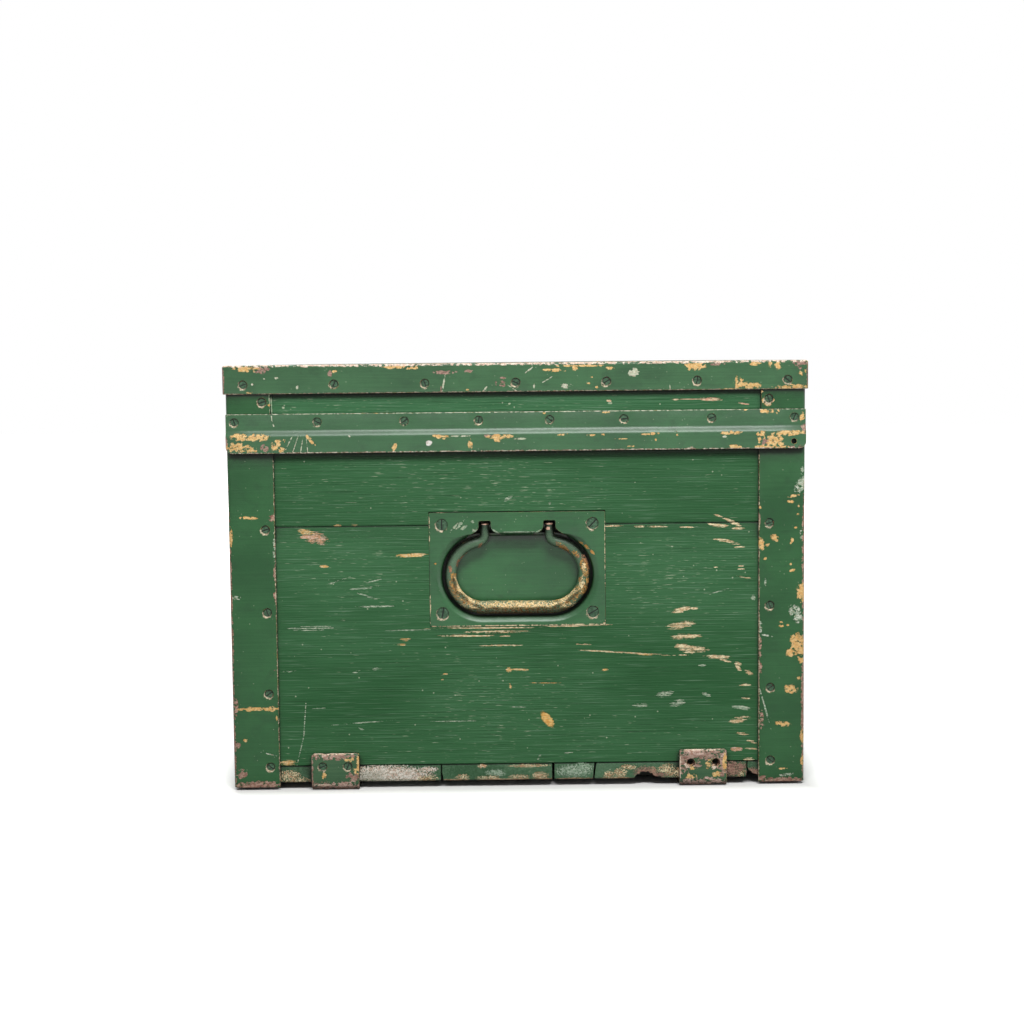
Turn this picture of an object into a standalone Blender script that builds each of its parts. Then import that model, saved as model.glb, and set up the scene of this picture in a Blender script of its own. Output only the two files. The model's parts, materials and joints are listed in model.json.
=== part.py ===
"""Painted wooden storage chest with iron corners, a hinged lid, let-in end handles and a side hasp.

The end that carries the front handle faces -Y, +X is to its right, +Z is up, and the origin lies on the
ground under the middle of the chest. Lengths are in metres.
"""
import math

import bmesh
import bpy
from mathutils import Matrix, Vector

MM = 0.001

# Clearances
GAP = 0.3 * MM                  # between pieces that lie against each other
PARTING_GAP = 0.5 * MM          # between the case and the closed lid
SWING_GAP = 1.0 * MM            # between the hasp strap and what it swings past
CUT_PAST = 4.0 * MM             # how far a cutter runs past the face that it opens
WELD = 0.01 * MM                # points closer than this are one

# Timber of the case
CASE_WIDTH = 518 * MM           # across the outside of the wood
CASE_LENGTH = 792 * MM          # along the outside of the wood
WALL = 22 * MM                  # thickness of the side and end boards
RABBET = 7 * MM                 # depth that the side boards are housed in the end boards
FLOOR = 15 * MM                 # thickness of the bottom boards
LOWER_BOARD = 220 * MM          # height of the lower wall boards
UPPER_BOARD = 77 * MM           # height of the upper wall boards
TONGUE_WIDTH = 6 * MM
TONGUE_HEIGHT = 7 * MM
FLOOR_LEFT = 187.4 * MM         # width of the left bottom board
FLOOR_MIDDLE = 102.7 * MM       # width of the middle one; the right one takes the rest
EDGE = 0.8 * MM                 # softened edges of the timber

# Timber of the lid
LID_RAIL = 52.5 * MM            # height of the rails
LID_TOP = 14 * MM               # thickness of the top boards
LID_BOARDS = 3

# Corner irons
IRON = 2.0 * MM                 # thickness of the angle
IRON_LEG = 42 * MM
IRON_BEND = 3.5 * MM            # outer bend radius
IRON_OVERHANG = 3.8 * MM        # how far the foot reaches below the bottom boards
LID_IRON_LEG = 40 * MM

# Steel runners under the floor
RUNNER = 6.0 * MM               # thickness of the flat bar
RUNNER_WIDTH = 43 * MM
RUNNER_INSET = 90.7 * MM        # middle of the bar from the outside of the wood
RUNNER_UPTURN = 33.7 * MM       # height of the ends turned up on the end boards
RUNNER_INSIDE = 1.0 * MM        # inner bend radius
RUNNER_HOLE = 2.4 * MM          # radius of the screw holes
RUNNER_HOLE_EDGE = 10 * MM      # screw holes from the edges of the bar
RUNNER_HOLE_TOP = 11.8 * MM     # screw holes from the top of the turned-up end

# Steel bands of the lid
BAND = 1.7 * MM                 # thickness
RIM_LEG = 26 * MM               # height of the rim angle
RIM_SHELF = 25 * MM             # width of the rim angle on the top boards
LIP_RISE = 24.9 * MM            # lip band above the lower edge of the lid
LIP_DROP = 10.5 * MM            # lip band below it
LIP_STEP = 3.0 * MM             # how far its lower part steps out
LIP_STEP_LOW = 5 * MM           # foot of the step above the lower edge of the lid
LIP_STEP_HEIGHT = 5 * MM

# End handles: the bail
BAIL_RADIUS = 5.9 * MM          # half the thickness of the loop
LEG_RADIUS = 4.6 * MM           # half the thickness of the legs and pins
BAIL_ARC = 30 * MM              # centre line radius of the loop's round ends
BAIL_SPREAD = 31 * MM           # from the middle to the centre of each round end
BAIL_NECK = 8 * MM              # centre line radius where a leg turns into the loop
BAIL_ELBOW = 5 * MM             # centre line radius where a leg turns into its pin
LEG_RUN = 2.84 * MM             # straight part of the legs
LEG_PLACE = 29.4 * MM           # legs from the middle
PIN_END = 9 * MM                # inner end of each pin from the middle

# End handles: the dished plate, its strap and its screws
PLATE = 1.9 * MM                # thickness
PLATE_SIDE = 8.5 * MM           # flat of the plate beside the dish
PLATE_FOOT = 6 * MM             # flat of the plate below the dish
PLATE_HEAD = 2.4 * MM           # flat of the plate above the strap's pocket
PIVOT_DROP = 0.8 * MM           # pivot below the seam between the wall boards
DISH_ROOM = 1.3 * MM            # between the loop and the throat of the dish
DISH_FLARE = 3.2 * MM           # how far the rolled rim opens out
DISH_RIM = 4 * MM               # depth of the rolled rim
DISH_DRAFT = 2.0 * MM           # how far the dish draws in from throat to floor
FINGER_ROOM = 3.1 * MM          # between the loop and the floor of the dish
DISH_SHELL = 1.6 * MM
LEG_ROOM = 2.0 * MM             # beside a leg in its slot
SLOT_TOP = 1.2 * MM             # above a leg in its slot
STRAP = 1.6 * MM                # thickness of the strap that holds the pins
STRAP_FLANGE = 4 * MM           # height of its flange
STRAP_CURL = 45                 # degrees that it curls past the middle of the pins' backs
SCREW_SIDE = 11.5 * MM          # screws from the plate's side edges
SCREW_FOOT = 12 * MM            # screws from its upper and lower edges
SCREW_HEAD_RADIUS = 5.75 * MM
SCREW_SHANK_RADIUS = 2.5 * MM
SCREW_HEAD = 3.2 * MM           # height of the countersunk head
SCREW_LENGTH = 16 * MM
SCREW_SLOT_WIDTH = 1.3 * MM
SCREW_SLOT_DEPTH = 1.1 * MM
# Turn of each screw's slot in degrees: upper left, upper right, lower left, lower right
SCREW_TURNS = (90.0, 45.0, 78.0, 30.0)

# Lid hinges on the left side
HINGE_INSET = 166 * MM          # middle of a hinge from the end of the wood
HINGE_LENGTH = 84 * MM
HINGE_LEAF = 2.5 * MM           # thickness of the leaves
HINGE_RIM_ROOM = 2.8 * MM       # between a lid leaf and the rim band
HINGE_KNUCKLE = 6 * MM          # outer radius
HINGE_PIN = 3 * MM              # radius of the pin

# Hasp on the right side
HASP_BELOW_LIP = 11.5 * MM      # knuckles below the lip band
HASP_WIDTH = 48 * MM
HASP_LEAF = 2.5 * MM            # thickness of the leaf
HASP_LEAF_HEIGHT = 34 * MM
HASP_KNUCKLE = 4.5 * MM
HASP_PIN = 2.2 * MM
HASP_STRAP = 2.5 * MM           # thickness of the strap
HASP_STRAP_PAST = 16 * MM       # length of the strap past the middle of its slot
HASP_SLOT_SIDE = 5.75 * MM      # room in the slot beside the staple
HASP_SLOT_END = 2.75 * MM       # room in the slot above and below the staple
STAPLE_RADIUS = 2.25 * MM       # half the thickness of the staple's rod
STAPLE_HALF = 9 * MM            # half the width of the loop, at its centre line
STAPLE_EYE = 6.5 * MM           # room in the loop outside the strap
STAPLE_PLATE = 2.0 * MM
STAPLE_PLATE_SIDE = 12.75 * MM  # plate beside the loop

# Facets
ARC_STEP = math.radians(15)     # largest turn between two points of an arc
CREASE = math.radians(45)       # sharper edges than this stay sharp in smooth shading
ROUND_SIDES = 20                # sides of a knuckle, pin or screw
DISH_SIDES = 36                 # sides of the dish's two round ends together
ROD_SIDES = 3                   # corners within each quarter of a rod's section

# Levels, from the ground up
FLOOR_BOTTOM = RUNNER + GAP
FLOOR_TOP = FLOOR_BOTTOM + FLOOR
WALL_BOTTOM = FLOOR_TOP + GAP
SEAM = WALL_BOTTOM + LOWER_BOARD
PARTING = SEAM + GAP + UPPER_BOARD
LID_BOTTOM = PARTING + PARTING_GAP
TOP_BOTTOM = LID_BOTTOM + LID_RAIL + GAP
TOP_TOP = TOP_BOTTOM + LID_TOP
RIM_TOP = TOP_TOP + GAP + BAND
RIM_BOTTOM = RIM_TOP - RIM_LEG
LIP_TOP = LID_BOTTOM + LIP_RISE
LIP_BOTTOM = LID_BOTTOM - LIP_DROP
PIVOT_HEIGHT = SEAM - PIVOT_DROP
HINGE_HEIGHT = (PARTING + LID_BOTTOM) / 2
HASP_HEIGHT = LIP_BOTTOM - HASP_BELOW_LIP - HASP_KNUCKLE
STAPLE_LOW = LIP_TOP + SWING_GAP
STAPLE_HIGH = RIM_BOTTOM - SWING_GAP
STAPLE_HEIGHT = (STAPLE_LOW + STAPLE_HIGH) / 2

# Depths, from the face of the wood
BAND_SEAT = IRON + 2 * GAP      # inner face of a band that lies over the lid irons
PIVOT_DEPTH = PLATE + GAP + LEG_RADIUS
DISH_DEPTH = PIVOT_DEPTH + BAIL_RADIUS + FINGER_ROOM
POCKET_DEPTH = DISH_DEPTH + DISH_SHELL + GAP
HINGE_REACH = HINGE_KNUCKLE + 2 * GAP
HASP_REACH = GAP + BAND + LIP_STEP + SWING_GAP + HASP_STRAP / 2

# The dish and its plate round the bail, measured from the pivot
NECK_OUT = LEG_PLACE + BAIL_NECK - BAIL_SPREAD
NECK_RISE = math.sqrt((BAIL_ARC + BAIL_NECK) ** 2 - NECK_OUT ** 2)
DISH_DROP = BAIL_ELBOW + LEG_RUN + NECK_RISE
DISH_THROAT = BAIL_ARC + BAIL_RADIUS + DISH_ROOM
DISH_RADIUS = DISH_THROAT + DISH_FLARE
DISH_FLOOR_RADIUS = DISH_THROAT - DISH_DRAFT
SLOT_HALF = LEG_RADIUS + LEG_ROOM
STRAP_BORE = LEG_RADIUS + GAP
STRAP_TOP = STRAP_BORE + STRAP + STRAP_FLANGE
STRAP_HALF = LEG_PLACE - LEG_RADIUS - BAIL_ELBOW - GAP
PLATE_HALF = BAIL_SPREAD + DISH_RADIUS + PLATE_SIDE
PLATE_TOP = STRAP_TOP + GAP + PLATE_HEAD
PLATE_BOTTOM = -DISH_DROP - DISH_RADIUS - PLATE_FOOT

# The four sides, seen from outside: turn about Z, length of the wood, distance of its face from the middle
SIDES = {
    "front": (0.0, CASE_WIDTH, CASE_LENGTH / 2),
    "right": (math.pi / 2, CASE_LENGTH, CASE_WIDTH / 2),
    "rear": (math.pi, CASE_WIDTH, CASE_LENGTH / 2),
    "left": (-math.pi / 2, CASE_LENGTH, CASE_WIDTH / 2),
}
ENDS = ("front", "rear")


# Scene and collections

for leftover in list(bpy.data.objects):
    bpy.data.objects.remove(leftover)

chest = bpy.data.collections.new("wooden_storage_chest")
cutters = bpy.data.collections.new("cutters")
bpy.context.scene.collection.children.link(chest)
bpy.context.scene.collection.children.link(cutters)


def finish(name, colour, roughness, metallic):
    """A plain Principled material."""
    made = bpy.data.materials.new(name)
    made.use_nodes = True
    shader = made.node_tree.nodes["Principled BSDF"]
    shader.inputs["Base Color"].default_value = (*colour, 1.0)
    shader.inputs["Roughness"].default_value = roughness
    shader.inputs["Metallic"].default_value = metallic
    return made


PAINTED_WOOD = finish("green painted wood", (0.050, 0.140, 0.065), 0.55, 0.0)
PAINTED_IRON = finish("green painted iron", (0.048, 0.130, 0.058), 0.45, 0.0)
WORN_STEEL = finish("worn runner steel", (0.230, 0.160, 0.120), 0.60, 0.6)
RUBBED_STEEL = finish("rubbed bail steel", (0.420, 0.270, 0.110), 0.45, 0.4)
SCREW_STEEL = finish("dark screw steel", (0.060, 0.090, 0.060), 0.50, 0.5)


# Shapes

def add(name, mesh, paint):
    """An object of the chest, or a cutter where it has no paint."""
    made = bpy.data.objects.new(name, mesh)
    if paint:
        made.data.materials.append(paint)
        chest.objects.link(made)
    else:
        made.hide_render = True
        made.display_type = "WIRE"
        cutters.objects.link(made)
    return made


def box(name, low, high, paint=None):
    """A box between two corners of its own frame."""
    size = Vector(high) - Vector(low)
    middle = (Vector(high) + Vector(low)) / 2
    shape = bmesh.new()
    bmesh.ops.create_cube(shape, size=1.0)
    bmesh.ops.scale(shape, vec=size, verts=shape.verts)
    bmesh.ops.translate(shape, vec=middle, verts=shape.verts)
    mesh = bpy.data.meshes.new(name)
    shape.to_mesh(mesh)
    shape.free()
    return add(name, mesh, paint)


def cylinder(name, radius, start, end, paint=None, across=(0.0, 0.0)):
    """A round bar along X from start to end, with its axis at the Y and Z in across."""
    shape = bmesh.new()
    bmesh.ops.create_cone(
        shape, cap_ends=True, segments=ROUND_SIDES, radius1=radius, radius2=radius, depth=end - start,
        matrix=Matrix.Rotation(math.pi / 2, 4, "Y"))
    bmesh.ops.translate(shape, vec=((start + end) / 2, *across), verts=shape.verts)
    mesh = bpy.data.meshes.new(name)
    shape.to_mesh(mesh)
    shape.free()
    mesh.shade_smooth()
    mesh.set_sharp_from_angle(angle=CREASE)
    return add(name, mesh, paint)


def arc(centre, radius, start, end):
    """Points on an arc in a plane, from one angle to another in degrees."""
    start = math.radians(start)
    sweep = math.radians(end) - start
    steps = max(2, math.ceil(abs(sweep) / ARC_STEP))
    angles = [start + sweep * step / steps for step in range(steps + 1)]
    return [(centre[0] + radius * math.cos(a), centre[1] + radius * math.sin(a)) for a in angles]


def as_mesh(curve_object, paint):
    """The closed mesh of a curve, under the curve's name, in place of the curve."""
    graph = bpy.context.evaluated_depsgraph_get()
    mesh = bpy.data.meshes.new_from_object(curve_object.evaluated_get(graph))
    name = curve_object.name
    bpy.data.objects.remove(curve_object)
    shape = bmesh.new()
    shape.from_mesh(mesh)
    bmesh.ops.remove_doubles(shape, verts=shape.verts, dist=WELD)
    bmesh.ops.recalc_face_normals(shape, faces=shape.faces)
    shape.to_mesh(mesh)
    shape.free()
    mesh.name = name
    return add(name, mesh, paint)


# How a drawn outline lies: its first and second direction, with the extrusion along the third
ALONG_X = Matrix(((0, 0, 1), (1, 0, 0), (0, 1, 0))).to_4x4()
ALONG_Z = Matrix.Identity(4)


def extruded(name, outline, length, lie, paint=None):
    """A flat outline drawn out to a length, half of it to each side."""
    curve = bpy.data.curves.new(name, "CURVE")
    curve.dimensions = "2D"
    curve.fill_mode = "BOTH"
    curve.extrude = length / 2
    spline = curve.splines.new("POLY")
    spline.points.add(len(outline) - 1)
    for point, (first, second) in zip(spline.points, outline):
        point.co = (first, second, 0.0, 1.0)
    spline.use_cyclic_u = True
    drawn = bpy.data.objects.new(name, curve)
    cutters.objects.link(drawn)
    made = as_mesh(drawn, paint)
    made.data.transform(lie)
    return made


def rod(name, points, radii, paint=None):
    """A round rod through points, with a radius at each of them."""
    curve = bpy.data.curves.new(name, "CURVE")
    curve.dimensions = "3D"
    curve.bevel_depth = 1.0
    curve.bevel_resolution = ROD_SIDES
    curve.use_fill_caps = True
    spline = curve.splines.new("POLY")
    spline.points.add(len(points) - 1)
    for point, place, radius in zip(spline.points, points, radii):
        point.co = (*place, 1.0)
        point.radius = radius
    drawn = bpy.data.objects.new(name, curve)
    cutters.objects.link(drawn)
    made = as_mesh(drawn, paint)
    made.data.shade_smooth()
    made.data.set_sharp_from_angle(angle=CREASE)
    return made


def stand(piece, side, height=0.0, depth=0.0):
    """Set a piece against a side: X along it, Y into the wood from its face, Z up from height."""
    turn, _, face = SIDES[side]
    piece.rotation_euler.z = turn
    piece.location = Matrix.Rotation(turn, 3, "Z") @ Vector((0.0, depth - face, height))
    return piece


def change(piece, tool, operation):
    """Cut a piece with a tool, or join the tool to it."""
    step = piece.modifiers.new(tool.name, "BOOLEAN")
    step.operation = operation
    step.object = tool


def soften(piece, width):
    """Take the sharpness off a piece's edges."""
    step = piece.modifiers.new("softened edges", "BEVEL")
    step.width = width
    step.segments = 1
    step.limit_method = "ANGLE"


def axis(name, place):
    """An empty on a joint's axis, for pieces that move together."""
    empty = bpy.data.objects.new(name, None)
    empty.location = place
    chest.objects.link(empty)
    return empty


def carry(empty, piece):
    """Let a piece move with an empty, from where it stands."""
    piece.parent = empty
    piece.matrix_parent_inverse = Matrix.Translation(empty.location).inverted()
    return piece


# Wall boards and lid rails, housed at the corners

def board_section(height, tongue=False, groove=False):
    """Section of a board on edge: depth from its outer face, then height."""
    near = (WALL - TONGUE_WIDTH) / 2
    far = near + TONGUE_WIDTH
    points = [(0.0, 0.0)]
    if groove:
        roof = TONGUE_HEIGHT + GAP
        points += [(near - GAP, 0.0), (near - GAP, roof), (far + GAP, roof), (far + GAP, 0.0)]
    points += [(WALL, 0.0), (WALL, height)]
    if tongue:
        crest = height + TONGUE_HEIGHT
        points += [(far, height), (far, crest), (near, crest), (near, height)]
    points.append((0.0, height))
    return points


def rabbet_cutters(side):
    """Upright cutters for the two corners where an end board takes the side boards."""
    half = SIDES[side][1] / 2
    inner = half - WALL - GAP
    low = WALL - RABBET
    made = []
    for hand, name in ((-1, "left"), (1, "right")):
        near, far = sorted((hand * inner, hand * (half + CUT_PAST)))
        tool = box(f"{side}_{name}_rabbet", (near, low, -CUT_PAST), (far, WALL + CUT_PAST, RIM_TOP))
        made.append(stand(tool, side))
    return made


def wall_board(name, side, bottom, height, rabbets, tongue=False, groove=False):
    """An end board over its full width, or a side board housed between the end boards."""
    run = SIDES[side][1]
    if side not in ENDS:
        run -= 2 * (WALL - RABBET + GAP)
    board = extruded(name, board_section(height, tongue, groove), run, ALONG_X, PAINTED_WOOD)
    soften(board, EDGE)
    for tool in rabbets.get(side, ()):
        change(board, tool, "DIFFERENCE")
    return stand(board, side, bottom)


def planks(names, joints, bottom, thickness):
    """Boards lying side by side along the chest, between joints across its width."""
    made = []
    for name, left, right in zip(names, joints, joints[1:]):
        low = (left + GAP / 2, -CASE_LENGTH / 2, bottom)
        high = (right - GAP / 2, CASE_LENGTH / 2, bottom + thickness)
        board = box(name, low, high, PAINTED_WOOD)
        soften(board, EDGE)
        made.append(board)
    return made


rabbets = {side: rabbet_cutters(side) for side in ENDS}
end_boards = {side: [] for side in ENDS}
for side in SIDES:
    part = "end" if side in ENDS else "side"
    lower = wall_board(f"{side}_{part}_lower_board", side, WALL_BOTTOM, LOWER_BOARD, rabbets, tongue=True)
    upper = wall_board(f"{side}_{part}_upper_board", side, SEAM + GAP, UPPER_BOARD, rabbets, groove=True)
    if side in ENDS:
        end_boards[side] = [lower, upper]

left_edge = -CASE_WIDTH / 2
floor_joints = (left_edge, left_edge + FLOOR_LEFT, left_edge + FLOOR_LEFT + FLOOR_MIDDLE, CASE_WIDTH / 2)
planks(
    ("bottom_board_left", "bottom_board_middle", "bottom_board_right"),
    floor_joints, FLOOR_BOTTOM, FLOOR)

lid_axis = axis("lid_axis", (-CASE_WIDTH / 2 - HINGE_REACH, 0.0, HINGE_HEIGHT))
for side in SIDES:
    carry(lid_axis, wall_board(f"lid_{side}_rail", side, LID_BOTTOM, LID_RAIL, rabbets))
lid_joints = [CASE_WIDTH * (number / LID_BOARDS - 0.5) for number in range(LID_BOARDS + 1)]
lid_names = [f"lid_top_board_{number + 1}" for number in range(LID_BOARDS)]
for board in planks(lid_names, lid_joints, TOP_BOTTOM, LID_TOP):
    carry(lid_axis, board)


# Corner irons of the case and of the lid

CORNERS = {
    "front_left": (-1, -1, 0.0),
    "front_right": (1, -1, math.pi / 2),
    "rear_right": (1, 1, math.pi),
    "rear_left": (-1, 1, -math.pi / 2),
}


def corner_iron(name, corner, bottom, top, leg):
    """An angle iron round a corner of the wood, with a rounded bend."""
    across, along, turn = CORNERS[corner]
    outline = [(leg, 0.0), (leg, IRON), (IRON, IRON), (IRON, leg), (0.0, leg)]
    outline += arc((IRON_BEND, IRON_BEND), IRON_BEND, 180, 270)
    iron = extruded(name, outline, top - bottom, ALONG_Z, PAINTED_IRON)
    out = GAP + IRON
    iron.rotation_euler.z = turn
    iron.location = (
        across * (CASE_WIDTH / 2 + out), along * (CASE_LENGTH / 2 + out), (bottom + top) / 2)
    return iron


for corner in CORNERS:
    corner_iron(f"{corner}_corner_iron", corner, FLOOR_BOTTOM - IRON_OVERHANG, PARTING, IRON_LEG)
    carry(lid_axis, corner_iron(f"lid_{corner}_iron", corner, LID_BOTTOM, TOP_TOP, LID_IRON_LEG))


# Runners: flat bars under the floor with their ends turned up

def runner(name, place):
    """A flat bar along the chest, turned up at both ends and drilled for two screws at each."""
    half = CASE_LENGTH / 2 + GAP + RUNNER
    inner = half - RUNNER
    inside = RUNNER_INSIDE
    bend = RUNNER + inside
    hole_place = RUNNER_WIDTH / 2 - RUNNER_HOLE_EDGE
    outline = [(half, RUNNER_UPTURN), (inner, RUNNER_UPTURN)]
    outline += arc((inner - inside, RUNNER + inside), inside, 0, -90)
    outline += arc((inside - inner, RUNNER + inside), inside, -90, -180)
    outline += [(-inner, RUNNER_UPTURN), (-half, RUNNER_UPTURN)]
    outline += arc((bend - half, bend), bend, 180, 270)
    outline += arc((half - bend, bend), bend, 270, 360)
    bar = extruded(name, outline, RUNNER_WIDTH, ALONG_X, WORN_STEEL)
    bar.location.x = place
    for hand in (-1, 1):
        hole = cylinder(f"{name}_hole_{hand + 2}", RUNNER_HOLE, -half - CUT_PAST, half + CUT_PAST)
        hole.rotation_euler.z = math.pi / 2
        hole.location = (place + hand * hole_place, 0.0, RUNNER_UPTURN - RUNNER_HOLE_TOP)
        change(bar, hole, "DIFFERENCE")
    return bar


runner("left_runner", RUNNER_INSET - CASE_WIDTH / 2)
runner("right_runner", CASE_WIDTH / 2 - RUNNER_INSET)


# Rim angles, mitred round the top of the lid

def rim_band(side):
    """An angle over the lid's upper edge, cut to a mitre at both ends."""
    out = BAND_SEAT + BAND
    half = SIDES[side][1] / 2 + out
    outline = [
        (-out, RIM_BOTTOM), (-BAND_SEAT, RIM_BOTTOM), (-BAND_SEAT, RIM_TOP - BAND),
        (RIM_SHELF - out, RIM_TOP - BAND), (RIM_SHELF - out, RIM_TOP), (-out, RIM_TOP)]
    band = extruded(f"lid_{side}_rim_band", outline, 2 * half, ALONG_X, PAINTED_IRON)
    for vertex in band.data.vertices:
        mitred = half - (vertex.co.y + out) - GAP / 2
        vertex.co.x = math.copysign(mitred, vertex.co.x)
    return stand(band, side)


for side in SIDES:
    carry(lid_axis, rim_band(side))


# Lip bands, stepped out over the parting line

def lip_band(side, seat, run):
    """A flat band on the lid's lower edge whose lower part steps out past the case."""
    step_low = LID_BOTTOM + LIP_STEP_LOW
    step_high = step_low + LIP_STEP_HEIGHT
    out = seat + LIP_STEP
    inner = [(-seat, LIP_TOP), (-seat, step_high), (-out, step_low), (-out, LIP_BOTTOM)]
    outer = [(depth - BAND, height) for depth, height in reversed(inner)]
    band = extruded(f"lid_{side}_lip_band", inner + outer, run, ALONG_X, PAINTED_IRON)
    return stand(band, side)


for side in ENDS:
    carry(lid_axis, lip_band(side, BAND_SEAT, CASE_WIDTH + 2 * (GAP + IRON)))
carry(lid_axis, lip_band("right", GAP, CASE_LENGTH - 2 * (LID_IRON_LEG + SWING_GAP)))


# End handles: dished plate let into the wood, bail, strap behind the plate and screws

def at_pivot(piece, side):
    """Set a piece whose own origin is the bail's pivot."""
    return stand(piece, side, PIVOT_HEIGHT, PIVOT_DEPTH)


def stadium(name, rings):
    """A solid with two round ends, through rings given by radius and depth from the face of the plate."""
    shape = bmesh.new()
    turn = Matrix.Rotation(math.pi / 2, 4, "X") @ Matrix.Rotation(math.pi / DISH_SIDES, 4, "Z")
    loops = []
    for number, (radius, depth) in enumerate(rings):
        capped = number in (0, len(rings) - 1)
        drawn = bmesh.ops.create_circle(
            shape, cap_ends=capped, segments=DISH_SIDES, radius=radius, matrix=turn)["verts"]
        for vertex in drawn:
            vertex.co.x += math.copysign(BAIL_SPREAD, vertex.co.x)
        bmesh.ops.translate(shape, vec=(0.0, depth - PIVOT_DEPTH, -DISH_DROP), verts=drawn)
        loops.append({edge for vertex in drawn for edge in vertex.link_edges})
    for first, second in zip(loops, loops[1:]):
        bmesh.ops.bridge_loops(shape, edges=list(first | second))
    bmesh.ops.recalc_face_normals(shape, faces=shape.faces)
    mesh = bpy.data.meshes.new(name)
    shape.to_mesh(mesh)
    shape.free()
    return add(name, mesh, None)


def plate_block(name, margin, front, back, paint=None):
    """A block of the plate's outline, grown by a margin, between two depths."""
    half = PLATE_HALF + margin
    low = (-half, front - PIVOT_DEPTH, PLATE_BOTTOM - margin)
    high = (half, back - PIVOT_DEPTH, PLATE_TOP + margin)
    return box(name, low, high, paint)


def turned_screw(name, clearance, paint=None):
    """A countersunk screw turned about its own Z, head upwards, or the seat for one."""
    head = SCREW_HEAD_RADIUS + clearance
    shank = SCREW_SHANK_RADIUS + clearance
    length = SCREW_LENGTH + clearance
    top = [(0.0, CUT_PAST), (head, CUT_PAST)] if clearance else [(0.0, 0.0)]
    profile = top + [(head, 0.0), (shank, -SCREW_HEAD), (shank, -length), (0.0, -length)]
    shape = bmesh.new()
    corners = [shape.verts.new((radius, 0.0, height)) for radius, height in profile]
    for first, second in zip(corners, corners[1:]):
        shape.edges.new((first, second))
    mesh = bpy.data.meshes.new(name)
    shape.to_mesh(mesh)
    shape.free()
    made = add(name, mesh, paint)
    step = made.modifiers.new("turned", "SCREW")
    step.steps = ROUND_SIDES
    step.render_steps = ROUND_SIDES
    step.use_merge_vertices = True
    step.merge_threshold = WELD
    return made


def face_out(piece, side, across, up, turn=0.0):
    """Point a screw's head out of a side's face, at a place from the pivot."""
    stand(piece, side, PIVOT_HEIGHT + up)
    round_z = Matrix.Rotation(SIDES[side][0], 3, "Z")
    piece.location += round_z @ Vector((across, 0.0, 0.0))
    tilt = Matrix.Rotation(math.pi / 2, 3, "X") @ Matrix.Rotation(turn, 3, "Z")
    piece.rotation_euler = (round_z @ tilt).to_euler()
    return piece


def screw_places():
    """Places of the plate's screws from the pivot, row by row, with the turn of each slot."""
    side = PLATE_HALF - SCREW_SIDE
    rows = (PLATE_TOP - SCREW_FOOT, PLATE_BOTTOM + SCREW_FOOT)
    corners = [(across, up) for up in rows for across in (-side, side)]
    return [(across, up, math.radians(turn)) for (across, up), turn in zip(corners, SCREW_TURNS)]


def handle_screws(side):
    """The plate's four screws, and the cutters for their seats."""
    seats = []
    for number, (across, up, turn) in enumerate(screw_places(), 1):
        screw = turned_screw(f"{side}_handle_screw_{number}", 0.0, SCREW_STEEL)
        face_out(screw, side, across, up, turn)
        half = SCREW_HEAD_RADIUS + CUT_PAST
        slot = box(
            f"{side}_handle_screw_slot_{number}", (-half, -SCREW_SLOT_WIDTH / 2, -SCREW_SLOT_DEPTH),
            (half, SCREW_SLOT_WIDTH / 2, CUT_PAST))
        face_out(slot, side, across, up, turn)
        change(screw, slot, "DIFFERENCE")
        seat = turned_screw(f"{side}_handle_screw_seat_{number}", GAP)
        seats.append(face_out(seat, side, across, up))
    return seats


def handle_plate(side, seats):
    """The pressed plate: a flat sheet with a dish, two slots for the legs and four screw seats."""
    plate = at_pivot(plate_block(f"{side}_handle_plate", 0.0, 0.0, PLATE, PAINTED_IRON), side)
    shell = [
        (DISH_RADIUS + DISH_SHELL, PLATE / 2), (DISH_FLOOR_RADIUS + DISH_SHELL, DISH_DEPTH + DISH_SHELL)]
    change(plate, at_pivot(stadium(f"{side}_dish_back", shell), side), "UNION")
    mouth = DISH_RADIUS + DISH_FLARE * CUT_PAST / DISH_RIM
    hollow = [(mouth, -CUT_PAST), (DISH_THROAT, DISH_RIM), (DISH_FLOOR_RADIUS, DISH_DEPTH)]
    change(plate, at_pivot(stadium(f"{side}_dish_hollow", hollow), side), "DIFFERENCE")
    for hand, name in ((-1, "left"), (1, "right")):
        across = hand * LEG_PLACE
        slot = box(
            f"{side}_{name}_leg_slot",
            (across - SLOT_HALF, -PIVOT_DEPTH - CUT_PAST, -DISH_DROP + BAIL_ARC),
            (across + SLOT_HALF, LEG_RADIUS + SWING_GAP, LEG_RADIUS + SLOT_TOP))
        change(plate, at_pivot(slot, side), "DIFFERENCE")
    for seat in seats:
        change(plate, seat, "DIFFERENCE")
    return plate


def handle_strap(side):
    """The strap behind the plate that holds both pins: a flange above, curled down round their backs."""
    outer = STRAP_BORE + STRAP
    seat = -LEG_RADIUS
    outline = [(seat, STRAP_BORE), (seat, STRAP_TOP), (seat + STRAP, STRAP_TOP), (seat + STRAP, outer)]
    outline += arc((0.0, 0.0), outer, 90, -STRAP_CURL)
    outline += arc((0.0, 0.0), STRAP_BORE, -STRAP_CURL, 90)
    strap = extruded(f"{side}_handle_pivot_strap", outline, 2 * STRAP_HALF, ALONG_X, PAINTED_IRON)
    return at_pivot(strap, side)


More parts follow.
